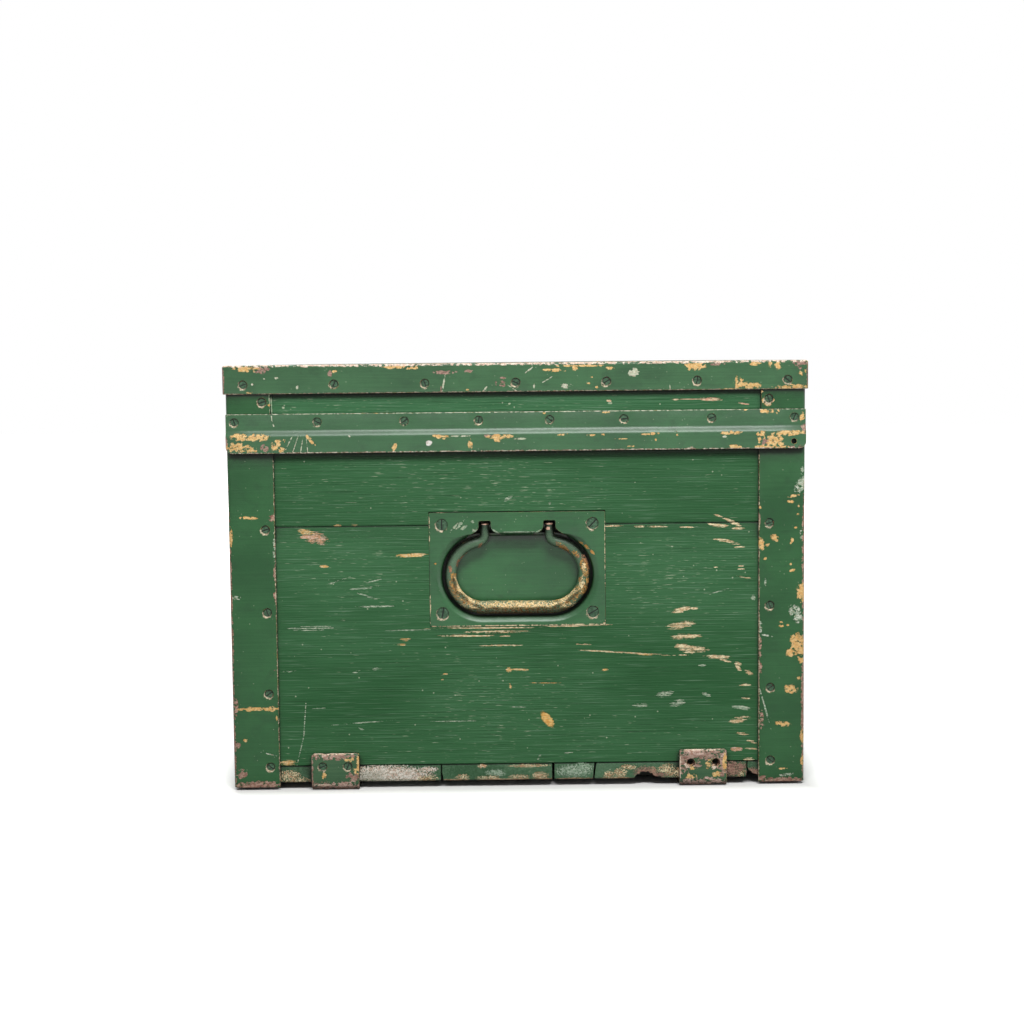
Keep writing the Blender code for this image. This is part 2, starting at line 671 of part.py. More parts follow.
def bail_half():
    """Centre line of the bail's right half from its pin to the middle of the loop, with its radii."""
    lean = math.degrees(math.atan2(NECK_RISE, NECK_OUT))
    elbow = arc((LEG_PLACE - BAIL_ELBOW, -BAIL_ELBOW), BAIL_ELBOW, 90, 0)
    neck = arc((LEG_PLACE + BAIL_NECK, -BAIL_ELBOW - LEG_RUN), BAIL_NECK, 180, 180 + lean)
    loop = arc((BAIL_SPREAD, -DISH_DROP), BAIL_ARC, lean, -90)
    swell = BAIL_RADIUS - LEG_RADIUS
    points = [(PIN_END, 0.0)] + elbow + neck + loop[1:]
    radii = [LEG_RADIUS] * (1 + len(elbow))
    radii += [LEG_RADIUS + swell * step / len(neck) for step in range(len(neck))]
    radii += [BAIL_RADIUS] * (len(loop) - 1)
    return points, radii


def handle_bail(side):
    """The bail: two pins, two legs and a loop of one bent rod, with its origin on the pivot."""
    points, radii = bail_half()
    right = [(across, 0.0, up) for across, up in points]
    left = [(-across, 0.0, up) for across, up in points]
    bail = rod(f"{side}_handle_bail", right + left[::-1], radii + radii[::-1], RUBBED_STEEL)
    return at_pivot(bail, side)


def handle_pocket(side, seats):
    """Cutters for the wood behind a handle: the plate's rebate, the dish, the strap and the screws."""
    rebate = plate_block(f"{side}_plate_rebate", GAP, -CUT_PAST, PLATE + GAP)
    room = DISH_RADIUS + DISH_SHELL + GAP
    dish = stadium(f"{side}_dish_pocket", [(room, 0.0), (room, POCKET_DEPTH)])
    half = LEG_PLACE + SLOT_HALF + GAP
    strap = box(
        f"{side}_strap_pocket", (-half, -PIVOT_DEPTH, -DISH_DROP),
        (half, POCKET_DEPTH - PIVOT_DEPTH - GAP, STRAP_TOP + GAP))
    return [at_pivot(tool, side) for tool in (rebate, dish, strap)] + seats


for side in ENDS:
    seats = handle_screws(side)
    handle_plate(side, seats)
    handle_strap(side)
    handle_bail(side)
    for tool in handle_pocket(side, seats):
        for board in end_boards[side]:
            change(board, tool, "DIFFERENCE")


# Lid hinges and hasp: leaves with knuckles on a pin

def knuckle_spans(length):
    """The outer two knuckles and the middle one, along a hinge."""
    third = length / 6
    outer = ((-length / 2, -third - GAP / 2), (third + GAP / 2, length / 2))
    middle = ((-third + GAP / 2, third - GAP / 2),)
    return outer, middle


def join_knuckles(leaf, spans, radius, pin, neck_low, neck_high, place):
    """Join necks and knuckles to a leaf and bore them for the pin; place sets each tool."""
    for number, (start, end) in enumerate(spans, 1):
        neck = box(f"{leaf.name}_neck_{number}", (start, *neck_low), (end, *neck_high))
        change(leaf, place(neck), "UNION")
        knuckle = cylinder(f"{leaf.name}_knuckle_{number}", radius, start, end)
        change(leaf, place(knuckle), "UNION")
    length = 2 * max(abs(value) for span in spans for value in span)
    bore = cylinder(f"{leaf.name}_bore", pin + GAP, -length, length)
    change(leaf, place(bore), "DIFFERENCE")
    return place(leaf)


def hinge(name, along):
    """A surface hinge on the left side: one leaf on the case, one on the lid, and their pin."""
    def place(piece):
        stand(piece, "left", HINGE_HEIGHT, -HINGE_REACH)
        piece.location.y += along
        return piece

    outer, middle = knuckle_spans(HINGE_LENGTH)
    near = HINGE_REACH - GAP - HINGE_LEAF
    far = HINGE_REACH - GAP
    start = HINGE_KNUCKLE + GAP
    end = RIM_BOTTOM - HINGE_RIM_ROOM - HINGE_HEIGHT
    for leaf_name, spans, hand in ((f"{name}_case_leaf", outer, -1), (f"{name}_lid_leaf", middle, 1)):
        low, high = sorted((hand * start, hand * end))
        leaf = box(
            leaf_name, (-HINGE_LENGTH / 2, near, low), (HINGE_LENGTH / 2, far, high), PAINTED_IRON)
        neck_low, neck_high = sorted((0.0, hand * (start + HINGE_LEAF)))
        join_knuckles(
            leaf, spans, HINGE_KNUCKLE, HINGE_PIN, (near, neck_low), (far, neck_high), place)
        if hand > 0:
            carry(lid_axis, leaf)
    half = HINGE_LENGTH / 2 + HINGE_PIN
    place(cylinder(f"{name}_pin", HINGE_PIN, -half, half, SCREW_STEEL))


hinge("front_hinge", HINGE_INSET - CASE_LENGTH / 2)
hinge("rear_hinge", CASE_LENGTH / 2 - HINGE_INSET)


def at_hasp(piece):
    """Set a piece whose own origin is the hasp's pivot."""
    return stand(piece, "right", HASP_HEIGHT, -HASP_REACH)


def hasp():
    """The hasp: a leaf on the case, a slotted strap that hangs from it, and their pin."""
    outer, middle = knuckle_spans(HASP_WIDTH)
    half = HASP_WIDTH / 2
    seat = HASP_REACH - GAP
    start = HASP_KNUCKLE + GAP
    leaf = box(
        "hasp_leaf", (-half, seat - HASP_LEAF, -start - HASP_LEAF_HEIGHT), (half, seat, -start),
        PAINTED_IRON)
    join_knuckles(
        leaf, outer, HASP_KNUCKLE, HASP_PIN, (0.0, -start - GAP), (seat, HASP_KNUCKLE), at_hasp)

    thick = HASP_STRAP / 2
    slot = STAPLE_HEIGHT - HASP_HEIGHT
    top = -HASP_KNUCKLE - SWING_GAP
    strap = box(
        "hasp_strap", (-half, -thick, -slot - HASP_STRAP_PAST), (half, thick, top), PAINTED_IRON)
    join_knuckles(
        strap, middle, HASP_KNUCKLE, HASP_PIN, (-thick, top - HASP_STRAP), (thick, 0.0), at_hasp)
    side = STAPLE_HALF + STAPLE_RADIUS + HASP_SLOT_SIDE
    rise = STAPLE_RADIUS + HASP_SLOT_END
    opening = box("hasp_strap_slot", (-side, -HASP_REACH, -slot - rise), (side, HASP_REACH, rise - slot))
    change(strap, at_hasp(opening), "DIFFERENCE")

    reach = half + HASP_PIN
    at_hasp(cylinder("hasp_pin", HASP_PIN, -reach, reach, SCREW_STEEL))


def hasp_staple():
    """The staple on the lid: a bent rod on a plate, which the strap's slot closes over."""
    half = STAPLE_HALF + STAPLE_RADIUS + STAPLE_PLATE_SIDE
    seat = GAP + STAPLE_PLATE
    rise = (STAPLE_HIGH - STAPLE_LOW) / 2
    plate = box("hasp_staple", (-half, -seat, -rise), (half, -GAP, rise), PAINTED_IRON)
    crown = HASP_REACH + HASP_STRAP / 2 + STAPLE_EYE + STAPLE_RADIUS
    bend = 2 * STAPLE_RADIUS
    outline = [(STAPLE_HALF, -seat + STAPLE_PLATE / 2)]
    outline += arc((STAPLE_HALF - bend, bend - crown), bend, 0, -90)
    outline += arc((bend - STAPLE_HALF, bend - crown), bend, -90, -180)
    outline += [(-STAPLE_HALF, -seat + STAPLE_PLATE / 2)]
    points = [(across, depth, 0.0) for across, depth in outline]
    loop = rod("hasp_staple_loop", points, [STAPLE_RADIUS] * len(points))
    change(plate, stand(loop, "right", STAPLE_HEIGHT), "UNION")
    return stand(plate, "right", STAPLE_HEIGHT)


hasp()
carry(lid_axis, hasp_staple())
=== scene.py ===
"""A green painted storage chest with iron fittings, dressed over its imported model."""

import json
import math

import bmesh
import bpy
from mathutils import Matrix, Vector

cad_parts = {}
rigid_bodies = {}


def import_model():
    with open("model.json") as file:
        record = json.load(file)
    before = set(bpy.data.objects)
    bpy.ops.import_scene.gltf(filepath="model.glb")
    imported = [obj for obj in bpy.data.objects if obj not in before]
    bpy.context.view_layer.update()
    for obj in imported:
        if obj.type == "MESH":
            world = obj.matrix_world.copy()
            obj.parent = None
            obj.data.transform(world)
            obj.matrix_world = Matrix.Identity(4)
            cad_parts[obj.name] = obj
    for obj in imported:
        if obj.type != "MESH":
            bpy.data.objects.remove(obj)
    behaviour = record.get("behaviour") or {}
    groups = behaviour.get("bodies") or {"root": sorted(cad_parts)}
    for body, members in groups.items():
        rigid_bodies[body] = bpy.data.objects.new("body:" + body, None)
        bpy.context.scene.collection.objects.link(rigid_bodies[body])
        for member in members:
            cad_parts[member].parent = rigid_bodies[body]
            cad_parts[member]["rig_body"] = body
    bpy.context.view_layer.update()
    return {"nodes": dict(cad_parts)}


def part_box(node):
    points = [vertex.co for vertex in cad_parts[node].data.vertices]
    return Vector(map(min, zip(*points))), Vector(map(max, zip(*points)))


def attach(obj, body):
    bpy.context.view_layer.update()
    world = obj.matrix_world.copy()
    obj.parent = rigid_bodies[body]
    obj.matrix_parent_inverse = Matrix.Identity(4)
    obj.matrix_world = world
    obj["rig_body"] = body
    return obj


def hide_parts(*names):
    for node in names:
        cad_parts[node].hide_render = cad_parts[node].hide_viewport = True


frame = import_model()
nodes = frame["nodes"]


# Bottom boards: three pine boards nailed up under the walls, whose sawn ends show below the front wall.
# Damp and dragging have split and chewed the ends, and rubbed the paint off a part of them.

MM = 0.001
AXIS_X, AXIS_Y, AXIS_Z = range(3)
SRGB_KNEE, SRGB_SLOPE, SRGB_LIFT, SRGB_POWER = 0.04045, 12.92, 0.055, 2.4
CHANNELS, BYTE = (1, 3, 5), 255  # where a hex colour's channels start, and their highest value


def linear(code):
    """An sRGB hex colour as the linear values that a shader takes."""
    parts = [int(code[start:start + 2], 16) / BYTE for start in CHANNELS]
    lifted = [((part + SRGB_LIFT) / (1 + SRGB_LIFT)) ** SRGB_POWER for part in parts]
    return tuple(p / SRGB_SLOPE if p <= SRGB_KNEE else up for p, up in zip(parts, lifted)) + (1.0,)


def node(tree, kind, sockets=None, **settings):
    """Adds a node with its settings, sets or links its sockets, and returns its first output, if any."""
    made = tree.nodes.new(kind)
    for name, value in settings.items():
        setattr(made, name, value)
    for name, value in (sockets or {}).items():
        if isinstance(name, int):
            socket = made.inputs[name]
        else:
            socket = next(s for s in made.inputs if s.enabled and s.name == name)
        if isinstance(value, bpy.types.NodeSocket):
            tree.links.new(value, socket)
        else:
            socket.default_value = value
    return next((s for s in made.outputs if s.enabled), None)


def bare_material(name):
    """A new material, its empty tree, and in that the place of each point of the piece."""
    material = bpy.data.materials.new(name)
    material.use_nodes = True
    tree = material.node_tree
    tree.nodes.clear()
    return material, tree, node(tree, "ShaderNodeTexCoord").node.outputs["Object"]


def mottle(tree, place, along, length, width, detail=3.0, rough=0.5):
    """Noise whose blotches have a real length along one axis and a real width across it, in mm."""
    scale = [1 / (width * MM)] * 3
    scale[along] = 1 / (length * MM)
    sized = node(tree, "ShaderNodeMapping", {"Vector": place, "Scale": scale})
    return node(tree, "ShaderNodeTexNoise", {
        "Vector": sized, "Scale": 1.0, "Detail": detail, "Roughness": rough})


def marked(tree, paint, *marks):
    """The paint with marks laid over it: each is a pattern, the range of it that shows, and a colour."""
    for pattern, shown, colour in marks:
        mask = node(tree, "ShaderNodeMapRange", {"Value": pattern, **shown})
        paint = node(tree, "ShaderNodeMix", {
            "Factor": mask, "A": paint, "B": linear(colour)}, data_type="RGBA")
    return paint


def finish(tree, paint, roughness, gloss, *depths):
    """Ends a material: a shader of its paint, roughness and gloss, and patterns that stand out in mm."""
    height = 0.0
    for pattern, depth in depths:
        height = node(tree, "ShaderNodeMath", {
            0: pattern, 1: depth * MM, 2: height}, operation="MULTIPLY_ADD")
    relief = node(tree, "ShaderNodeBump", {"Height": height, "Distance": 1.0})
    shader = node(tree, "ShaderNodeBsdfPrincipled", {
        "Base Color": paint, "Roughness": roughness, "Normal": relief, "Specular IOR Level": gloss})
    node(tree, "ShaderNodeOutputMaterial", {"Surface": shader})


FADE = 1.7                      # how far past a worn place its fading edge reaches
FADE_SOFT = 0.045               # half the width of that edge, as a share of the place
# Patterns of a worn place: length and width in mm, fineness of detail and its strength, and the range shown
FLECK, FLECKED = (2.4, 1.3, 4.0, 0.65), {"From Min": 0.44, "From Max": 0.56}
STAIN, STAINED = (1.6, 1.1, 4.0, 0.65), {"From Min": 0.57, "From Max": 0.63, "To Max": 0.75}


def listed_places(tree, place, spots, face, reach, edge):
    """Where any listed place is: x, z, half width and half height in mm, and any turn in degrees."""
    nearest = 0.0
    for x, z, half_width, half_height, *turn in spots:
        blot = node(tree, "ShaderNodeTexGradient", {"Vector": place}, gradient_type="SPHERICAL").node
        fit = blot.texture_mapping
        fit.vector_type = "TEXTURE"
        fit.translation = (x * MM, face * MM, z * MM)
        fit.rotation = (0.0, -math.radians(sum(turn)), 0.0)
        fit.scale = (half_width * FADE * MM, reach * FADE * MM, half_height * FADE * MM)
        nearest = node(tree, "ShaderNodeMath", {0: nearest, 1: blot.outputs["Fac"]}, operation="MAXIMUM")
    broken = node(tree, "ShaderNodeMath", {0: nearest, 1: edge, 2: nearest}, operation="MULTIPLY_ADD")
    rim = 1 - 1 / FADE + FADE_SOFT
    return node(tree, "ShaderNodeMapRange", {
        "Value": broken, "From Min": rim - FADE_SOFT, "From Max": rim + FADE_SOFT})


def layers_laid_over(tree, place, paint, gone, layers, face, reach, ragged, stain):
    """The paint with each layer's places laid over it, worn places and some painted highlight and shade, and
    where any of them lies or the paint is gone.
    """
    flecks = mottle(tree, place, AXIS_X, *FLECK)
    stains = mottle(tree, place, AXIS_Z, *STAIN)
    for light, dark, amount, spots in layers:
        edge = node(tree, "ShaderNodeMath", {0: ragged, 1: amount}, operation="MULTIPLY")
        mask = listed_places(tree, place, spots, face, reach, edge)
        tone = marked(tree, linear(light), (flecks, FLECKED, dark), (stains, STAINED, stain))
        paint = node(tree, "ShaderNodeMix", {"Factor": mask, "A": paint, "B": tone}, data_type="RGBA")
        gone = node(tree, "ShaderNodeMath", {0: gone, 1: mask}, operation="MAXIMUM")
    return paint, gone


# Near black: the colour of cracks and grime, and of painted shade in corners and under overhangs
GRIME_AND_SHADE = "#0b120a"
CREVICE = 16.0                  # how far from a corner the grime and painted shade reach, in mm
SHADE_LEAN = (0.0, 0.0, 0.9)       # the grime and painted shade lean upwards, to lie most under what stands out above
SOFT_SAMPLES = 6                # rays that feel for corners and edges
DIRT_AND_SHADE = {"From Min": 0.8, "From Max": 0.62}


def dirtied_and_shaded(tree, paint, reach=CREVICE):
    """The paint with grime and painted shade in its corners, the shade most of all under whatever stands out
    above.
    """
    above = node(
        tree, "ShaderNodeVectorTransform", {"Vector": SHADE_LEAN}, vector_type="VECTOR",
        convert_from="OBJECT", convert_to="WORLD")
    normal = node(tree, "ShaderNodeNewGeometry").node.outputs["Normal"]
    leaning = node(tree, "ShaderNodeVectorMath", {0: normal, 1: above}, operation="ADD")
    leaning = node(tree, "ShaderNodeVectorMath", {0: leaning}, operation="NORMALIZE")
    crevice = node(tree, "ShaderNodeAmbientOcclusion", {
        "Distance": reach * MM, "Normal": leaning}, samples=SOFT_SAMPLES).node.outputs["AO"]
    return marked(tree, paint, (crevice, DIRT_AND_SHADE, GRIME_AND_SHADE))


END_FACE = -396.0               # front face of the wood
CREAM = "#f3e3ba"               # primer under the paint of the boards
BARE_PINE = "#c2946f"
WEATHERED_PINE = "#d3d0c3"
PINE_STAIN = "#6f8261"
PALE_BRUSH = "#7fa084"
PALE_SCRATCH = "#b9c4a6"
NOISE_MEAN = 0.5
# Patterns of the paint: length along the grain and width across it in mm, fineness of detail and its strength
PINE_CLOUD, BRUSH_MARK, GRAIN_HAIR, PALE_DASH = (160, 60), (110, 1.8), (45, 0.9, 2.0), (12, 0.8, 2.0)
FLAKE_DETAIL = (6.0, 0.72)
PINE_FLAKE, KNOCKED_AREA, KNOCK = (5, 1.2, *FLAKE_DETAIL), (190, 60), (26, 6, 6.0, 0.65)
PINE_SPECKS = 13                # mm between specks
# How much one pattern sways another
BRUSH_SHARE, DASH_SHARE, FIBRE_SHARE, KNOCK_SHARE = 0.8, 0.3, 0.9, 0.45
# The range of each pattern that shows, and how strongly
PINE_SHADE = {"From Min": 0.72, "From Max": 1.08}
CREST = {"From Min": 0.6, "From Max": 0.72, "To Max": 0.45}
CRACK = {"From Min": 0.38, "From Max": 0.26, "To Max": 0.55}
DASH = {"From Min": 0.83, "From Max": 0.9, "To Max": 0.6}
SPECK = {"From Min": 0.06, "From Max": 0.04, "To Max": 0.7}
KNOCKED = {"From Min": 1.15, "From Max": 1.18}
PINE_ROUGHNESS = {"To Min": 0.58, "To Max": 0.85}  # of the paint and of what lies under it
PINE_GLOSS = 0.2
BRUSH_RELIEF, HAIR_RELIEF, PINE_CHIP_RELIEF = 0.35, 0.45, -0.2
PINE_WEAR_REACH = 8             # how far behind the face a worn place reaches, in mm


def painted_pine(name, along, deep, faded, layers=(), scattered=0.0):
    """Oil paint brushed on pine: streaks and fine cracks along the grain, flaked where it was knocked.

    The eye sees a dull sheen broken by the grain, paler brush lines, and the primer in the chips."""
    material, tree, place = bare_material(name)
    cloud, brush, hair, dash, flake, area, knock = (
        mottle(tree, place, along, *pattern)
        for pattern in (PINE_CLOUD, BRUSH_MARK, GRAIN_HAIR, PALE_DASH, PINE_FLAKE, KNOCKED_AREA, KNOCK))
    speck = node(tree, "ShaderNodeTexVoronoi", {"Vector": place, "Scale": 1 / (PINE_SPECKS * MM)})
    streak = node(tree, "ShaderNodeMath", {0: brush, 1: BRUSH_SHARE, 2: cloud}, operation="MULTIPLY_ADD")
    dash = node(tree, "ShaderNodeMath", {0: cloud, 1: DASH_SHARE, 2: dash}, operation="MULTIPLY_ADD")
    paint = marked(
        tree, linear(deep), (streak, PINE_SHADE, faded), (hair, CREST, PALE_BRUSH), (hair, CRACK, GRIME_AND_SHADE),
        (dash, DASH, PALE_SCRATCH), (speck, SPECK, PALE_SCRATCH))
    fibres = node(tree, "ShaderNodeMath", {0: hair, 1: FIBRE_SHARE, 2: flake}, operation="MULTIPLY_ADD")
    ragged = node(tree, "ShaderNodeMath", {
        0: fibres, 1: NOISE_MEAN * (1 + FIBRE_SHARE)}, operation="SUBTRACT")
    chance = node(tree, "ShaderNodeMath", {0: area, 1: scattered, 2: knock}, operation="MULTIPLY_ADD")
    chip = node(tree, "ShaderNodeMath", {0: ragged, 1: KNOCK_SHARE, 2: chance}, operation="MULTIPLY_ADD")
    gone = node(tree, "ShaderNodeMapRange", {"Value": chip, **KNOCKED})
    # Painted shade and grime in the corners and under overhangs, then the cream primer where the paint is
    # knocked off
    paint = node(tree, "ShaderNodeMix", {
        "Factor": gone, "A": dirtied_and_shaded(tree, paint), "B": linear(CREAM)}, data_type="RGBA")
    paint, gone = layers_laid_over(
        tree, place, paint, gone, layers, END_FACE, PINE_WEAR_REACH, ragged, PINE_STAIN)
    roughness = node(tree, "ShaderNodeMapRange", {"Value": gone, **PINE_ROUGHNESS})
    finish(
        tree, paint, roughness, PINE_GLOSS, (brush, BRUSH_RELIEF), (hair, HAIR_RELIEF),
        (gone, PINE_CHIP_RELIEF))
    return material


WELD = 0.01 * MM
FLAT = math.radians(1)
SHARP = math.radians(25)
ROUND = 0.5                     # a bevel's profile that is an arc
EASE_STEPS, BEND_STEPS = 2, 5   # faces across an eased edge and across a bend


def whole(shape, name):
    """A mesh from a bmesh, without the normals that it came with, shaded smooth between its sharp edges."""
    mesh = bpy.data.meshes.new(name)
    shape.to_mesh(mesh)
    shape.free()
    if "custom_normal" in mesh.attributes:
        mesh.attributes.remove(mesh.attributes["custom_normal"])
    mesh.shade_smooth()
    mesh.set_sharp_from_angle(angle=SHARP)
    return mesh


def rounded(shape, radius, chosen, steps):
    """Rounds a shape's sharp edges: all of them, or those with both ends at a chosen place in mm."""
    edges = [e for e in shape.edges if e.is_manifold and e.calc_face_angle(0.0) > SHARP]
    if chosen:
        edges = [e for e in edges if all(chosen(*(end.co / MM)) for end in e.verts)]
    bmesh.ops.bevel(
        shape, geom=edges, offset=radius * MM, offset_type="OFFSET", segments=steps, profile=ROUND,
        affect="EDGES", clamp_overlap=True)


def eased(name, radius, chosen=None, bend=0.0, bent=None):
    """A copy of a CAD piece with its triangles joined, its bends rounded, and then its sharp edges eased."""
    shape = bmesh.new()
    shape.from_mesh(nodes[name].data)
    bmesh.ops.remove_doubles(shape, verts=shape.verts, dist=WELD)
    bmesh.ops.dissolve_limit(shape, angle_limit=FLAT, verts=shape.verts, edges=shape.edges)
    if bend:
        rounded(shape, bend, bent, BEND_STEPS)
    rounded(shape, radius, chosen, EASE_STEPS)
    return whole(shape, name)


def prism(outline, front, back):
    """A block of an outline in X and Z between two depths in Y, all in mm."""
    shape = bmesh.new()
    near, far = (
        [shape.verts.new((x * MM, y * MM, z * MM)) for x, z in outline] for y in (front, back))
    shape.faces.new(near)
    shape.faces.new(far[::-1])
    for corner in range(len(outline)):
        shape.faces.new((near[corner], near[corner - 1], far[corner - 1], far[corner]))
    bmesh.ops.recalc_face_normals(shape, faces=shape.faces)
    return whole(shape, "block")


def placed(name, data):
    """A new object of some data, put in the scene."""
    made = bpy.data.objects.new(name, data)
    bpy.context.scene.collection.objects.link(made)
    return made


def without_skins(mesh):
    """A cut mesh without skins of no thickness, which a cut can leave: faces that share all their corners."""
    shape = bmesh.new()
    shape.from_mesh(mesh)
    faces_on = {}
    for face in shape.faces:
        faces_on.setdefault(frozenset(face.verts), []).append(face)
    skins = [face for faces in faces_on.values() if len(faces) > 1 for face in faces]
    bmesh.ops.delete(shape, geom=skins, context="FACES")
    return whole(shape, mesh.name)


def carved(mesh, cutters, operation="DIFFERENCE"):
    """The mesh after every cutter has been taken from it, or joined to it."""
    work = placed("work", mesh)
    tools = [placed("tool", cutter) for cutter in cutters]
    for tool in tools:
        step = work.modifiers.new("cut", "BOOLEAN")
        step.object = tool
        step.operation = operation
        step.solver = "EXACT"
        step.use_self = True
    graph = bpy.context.evaluated_depsgraph_get()
    made = bpy.data.meshes.new_from_object(work.evaluated_get(graph))
    for used in [work] + tools:
        bpy.data.objects.remove(used)
    return without_skins(made)


def coat(mesh, paint):
    """Gives a mesh its one material."""
    mesh.materials.clear()
    mesh.materials.append(paint)


def piece(name, mesh, paint, body, slot, *stands_for):
    """Puts a finished mesh in the scene as a piece of a body, in place of CAD pieces."""
    coat(mesh, paint)
    made = placed(name, mesh)
    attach(made, body)
    if stands_for:
        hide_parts(*stands_for)


BOARD_EASE = 0.7                # rounding of a sawn edge
CUT_PAST = 2.0                  # how far in front of a face a cutter starts
OCHRE = "#e0ae68"               # primer under the paint of the irons
RUST = "#86635a"
# Splits and chewed places in the board ends: outline in X and Z, and depth, in mm
BOARD_WOUNDS = (
    (((-72.3, 5), (-71.9, 12.5), (-71.2, 14), (-70.4, 12), (-69.3, 5)), 30),
    (((29.9, 5), (29.9, 22), (32.3, 22), (32.3, 5)), 40),
    (((68.9, 22), (71, 22), (69.6, 13), (69, 5), (67.2, 5), (67.9, 13)), 25),
    (((104.5, 5), (106.2, 8.2), (108, 10.6), (109.5, 10.2), (111.5, 12.4), (114, 12.9), (116.5, 12.2),
      (118, 13.2), (120.5, 10.9), (122, 11.4), (123.6, 8.6), (126.5, 8), (130, 8.3), (132, 5)), 14),
    (((208.6, 22), (210, 22), (209.4, 17), (210.6, 13), (212.5, 12.4), (215, 9.8), (218, 9.2),
      (220.5, 7.5), (221.5, 5), (207.2, 5), (208.5, 9), (209, 13), (208.3, 17)), 18),
)
# Wear, layer by layer: two colours that mingle, how ragged the edges are, and the worn places
# A worn place: x, z, half width and half height in mm, and any turn in degrees
BOARD_END_WEAR = (
    (WEATHERED_PINE, "#b4ab98", 2.6, ((-124, 13.5, 30, 9), (-104, 12, 16, 8))),
    ("#efe8dc", "#cdb3a0", 5.0, (
        (-112, 14, 14, 6), (-94, 12, 14, 6), (-134, 18, 12, 2.6), (-84, 17, 8, 2.6))),
    ("#b9c9b4", "#86a387", 5.0, ((50, 14, 15, 5), (60, 18, 8, 3, -15), (-22, 13, 8, 3))),
    (CREAM, BARE_PINE, 9.0, (
        (-211, 13, 8, 4), (-222, 10, 4, 3), (-205, 8, 10, 3), (-84, 8, 8, 3), (-52, 9, 5, 3),
        (-28, 8, 9, 2.4), (0, 8.5, 8, 2.6), (19, 10, 6, 3), (8, 19.4, 16, 1.2), (82, 10, 4, 3),
        (93, 12, 5, 3.4), (100, 17, 6, 2), (136, 13, 8, 5), (146, 11, 4, 4), (201, 11, 6, 4))),
    ("#e8d2ad", BARE_PINE, 4.0, (
        (-60, 7, 12, 0.9), (-14, 6.9, 20, 0.8), (22, 7, 9, 0.9), (50, 7, 16, 0.8), (90, 7, 14, 0.9),
        (123, 14, 3, 3), (-34, 19.5, 4, 1.6))),
    (RUST, "#b08a78", 4.0, (
        (116, 11, 10, 6), (128, 9, 8, 3), (214, 10, 6, 5), (204, 16, 4, 4), (196, 14, 8, 7))),
)
board_ends = painted_pine(
    "oil_paint_on_worn_pine_ends", AXIS_Y, "#35593b", "#56785a", BOARD_END_WEAR, scattered=0.7)
wounds = [prism(outline, END_FACE - CUT_PAST, END_FACE + depth) for outline, depth in BOARD_WOUNDS]
for name in ("bottom_board_left", "bottom_board_middle", "bottom_board_right"):
    board = carved(eased(name, BOARD_EASE), [wound.copy() for wound in wounds])
    piece(f"{name}_sawn", board, board_ends, "case", "painted_boards", name)


# Wall boards: a lower and an upper pine board on each side, tongued and grooved, with a seam between them.
# They are brushed with green oil paint over a cream primer, which shows where the end was knocked.

WALL_SIDE = 259.0
SEAM, SEAM_REACH, SEAM_EASE = 241.7, 1.2, 0.8
ON_EDGE = 0.1                   # how near a place counts as on a face
WALL_GREEN = ("#26542f", "#386741")
WALL_CHIPS = 0.8
PANEL_CREAM = (
    (149, 162, 8, 2.2, 12), (160.5, 163.3, 3, 1.1), (149, 148.2, 12, 3, 8), (152.9, 137.3, 12, 2.6, 3),
    (152.9, 126.5, 9, 3.4, -18), (164.2, 125.8, 10, 2.4, -5), (150.3, 120.2, 5, 1.1),
    (181.9, 118.5, 11, 1.6, -3), (188.2, 115.3, 6, 1, -18), (200.8, 111.9, 3.2, 1.5, -10),
    (201.5, 107.5, 3.6, 1.6, -50), (210.9, 103.5, 4, 1.7, -30), (207.8, 92.1, 5, 1),
    (207.8, 79.9, 4, 0.8, -5), (204.7, 61.4, 8, 1.6, 4), (199.6, 58.2, 6, 1.8),
    (204.7, 46.6, 6.5, 1.3, -12), (213.6, 39.4, 4.5, 1, -18), (213.6, 32.7, 5, 0.8, -4),
    (211.1, 22.7, 4.5, 1.6), (88, 239.5, 8, 0.8), (112, 239, 6, 0.8), (128, 238.6, 9, 0.7),
    (155, 238, 6, 0.7), (184, 247.5, 6, 0.9, -20), (191, 244.5, 6, 1.1, -24), (197, 241.2, 6, 1.6, -26),
    (200.9, 236.2, 5, 0.9), (176, 240.2, 3, 0.9, -8), (184, 238.9, 9, 1.5, -6), (185, 225.8, 6, 1.1, -10),
    (193, 224, 9, 1.5, -13), (201, 219.4, 5, 0.9), (203.8, 198.8, 3, 0.8), (203.8, 201.6, 2.4, 0.6),
    (205.2, 191.7, 6, 0.7, -8), (180.5, 200.9, 2, 0.6), (-30.8, 147.6, 48, 0.6), (-21.3, 143.9, 28, 1.1),
    (-47.5, 140.6, 22, 0.9), (-11.8, 139.8, 4, 0.8), (55.1, 148.7, 27, 0.7, 1), (-15, 131.3, 20, 0.7, -1),
    (60.1, 131.4, 7, 0.6, -2), (100.7, 123.1, 45, 0.6, -4),
)
PANEL_OCHRE = (
    (-96, 214.9, 13.5, 1.8, 2), (-162.4, 242.8, 3.5, 0.9), (-147, 242.9, 2.5, 0.8),
    (-175.5, 205.6, 4, 1.2), (-102.6, 137.7, 5, 1.3), (-106.1, 132.9, 4.5, 0.8), (-66.9, 105.4, 2, 1),
    (-69.5, 100.5, 1.5, 0.7), (-8.5, 108.6, 2.8, 2), (1.6, 108.9, 7.5, 0.9, -2),
    (23.5, 96.3, 14, 0.5, -1), (79.4, 107.6, 3, 0.9), (-7.5, 93.2, 1.1, 2.5, 10), (117.6, 121.2, 8, 0.6),
    (-191.5, 237.1, 7, 2.2, -8), (-212, 24.5, 8, 2.4),
)
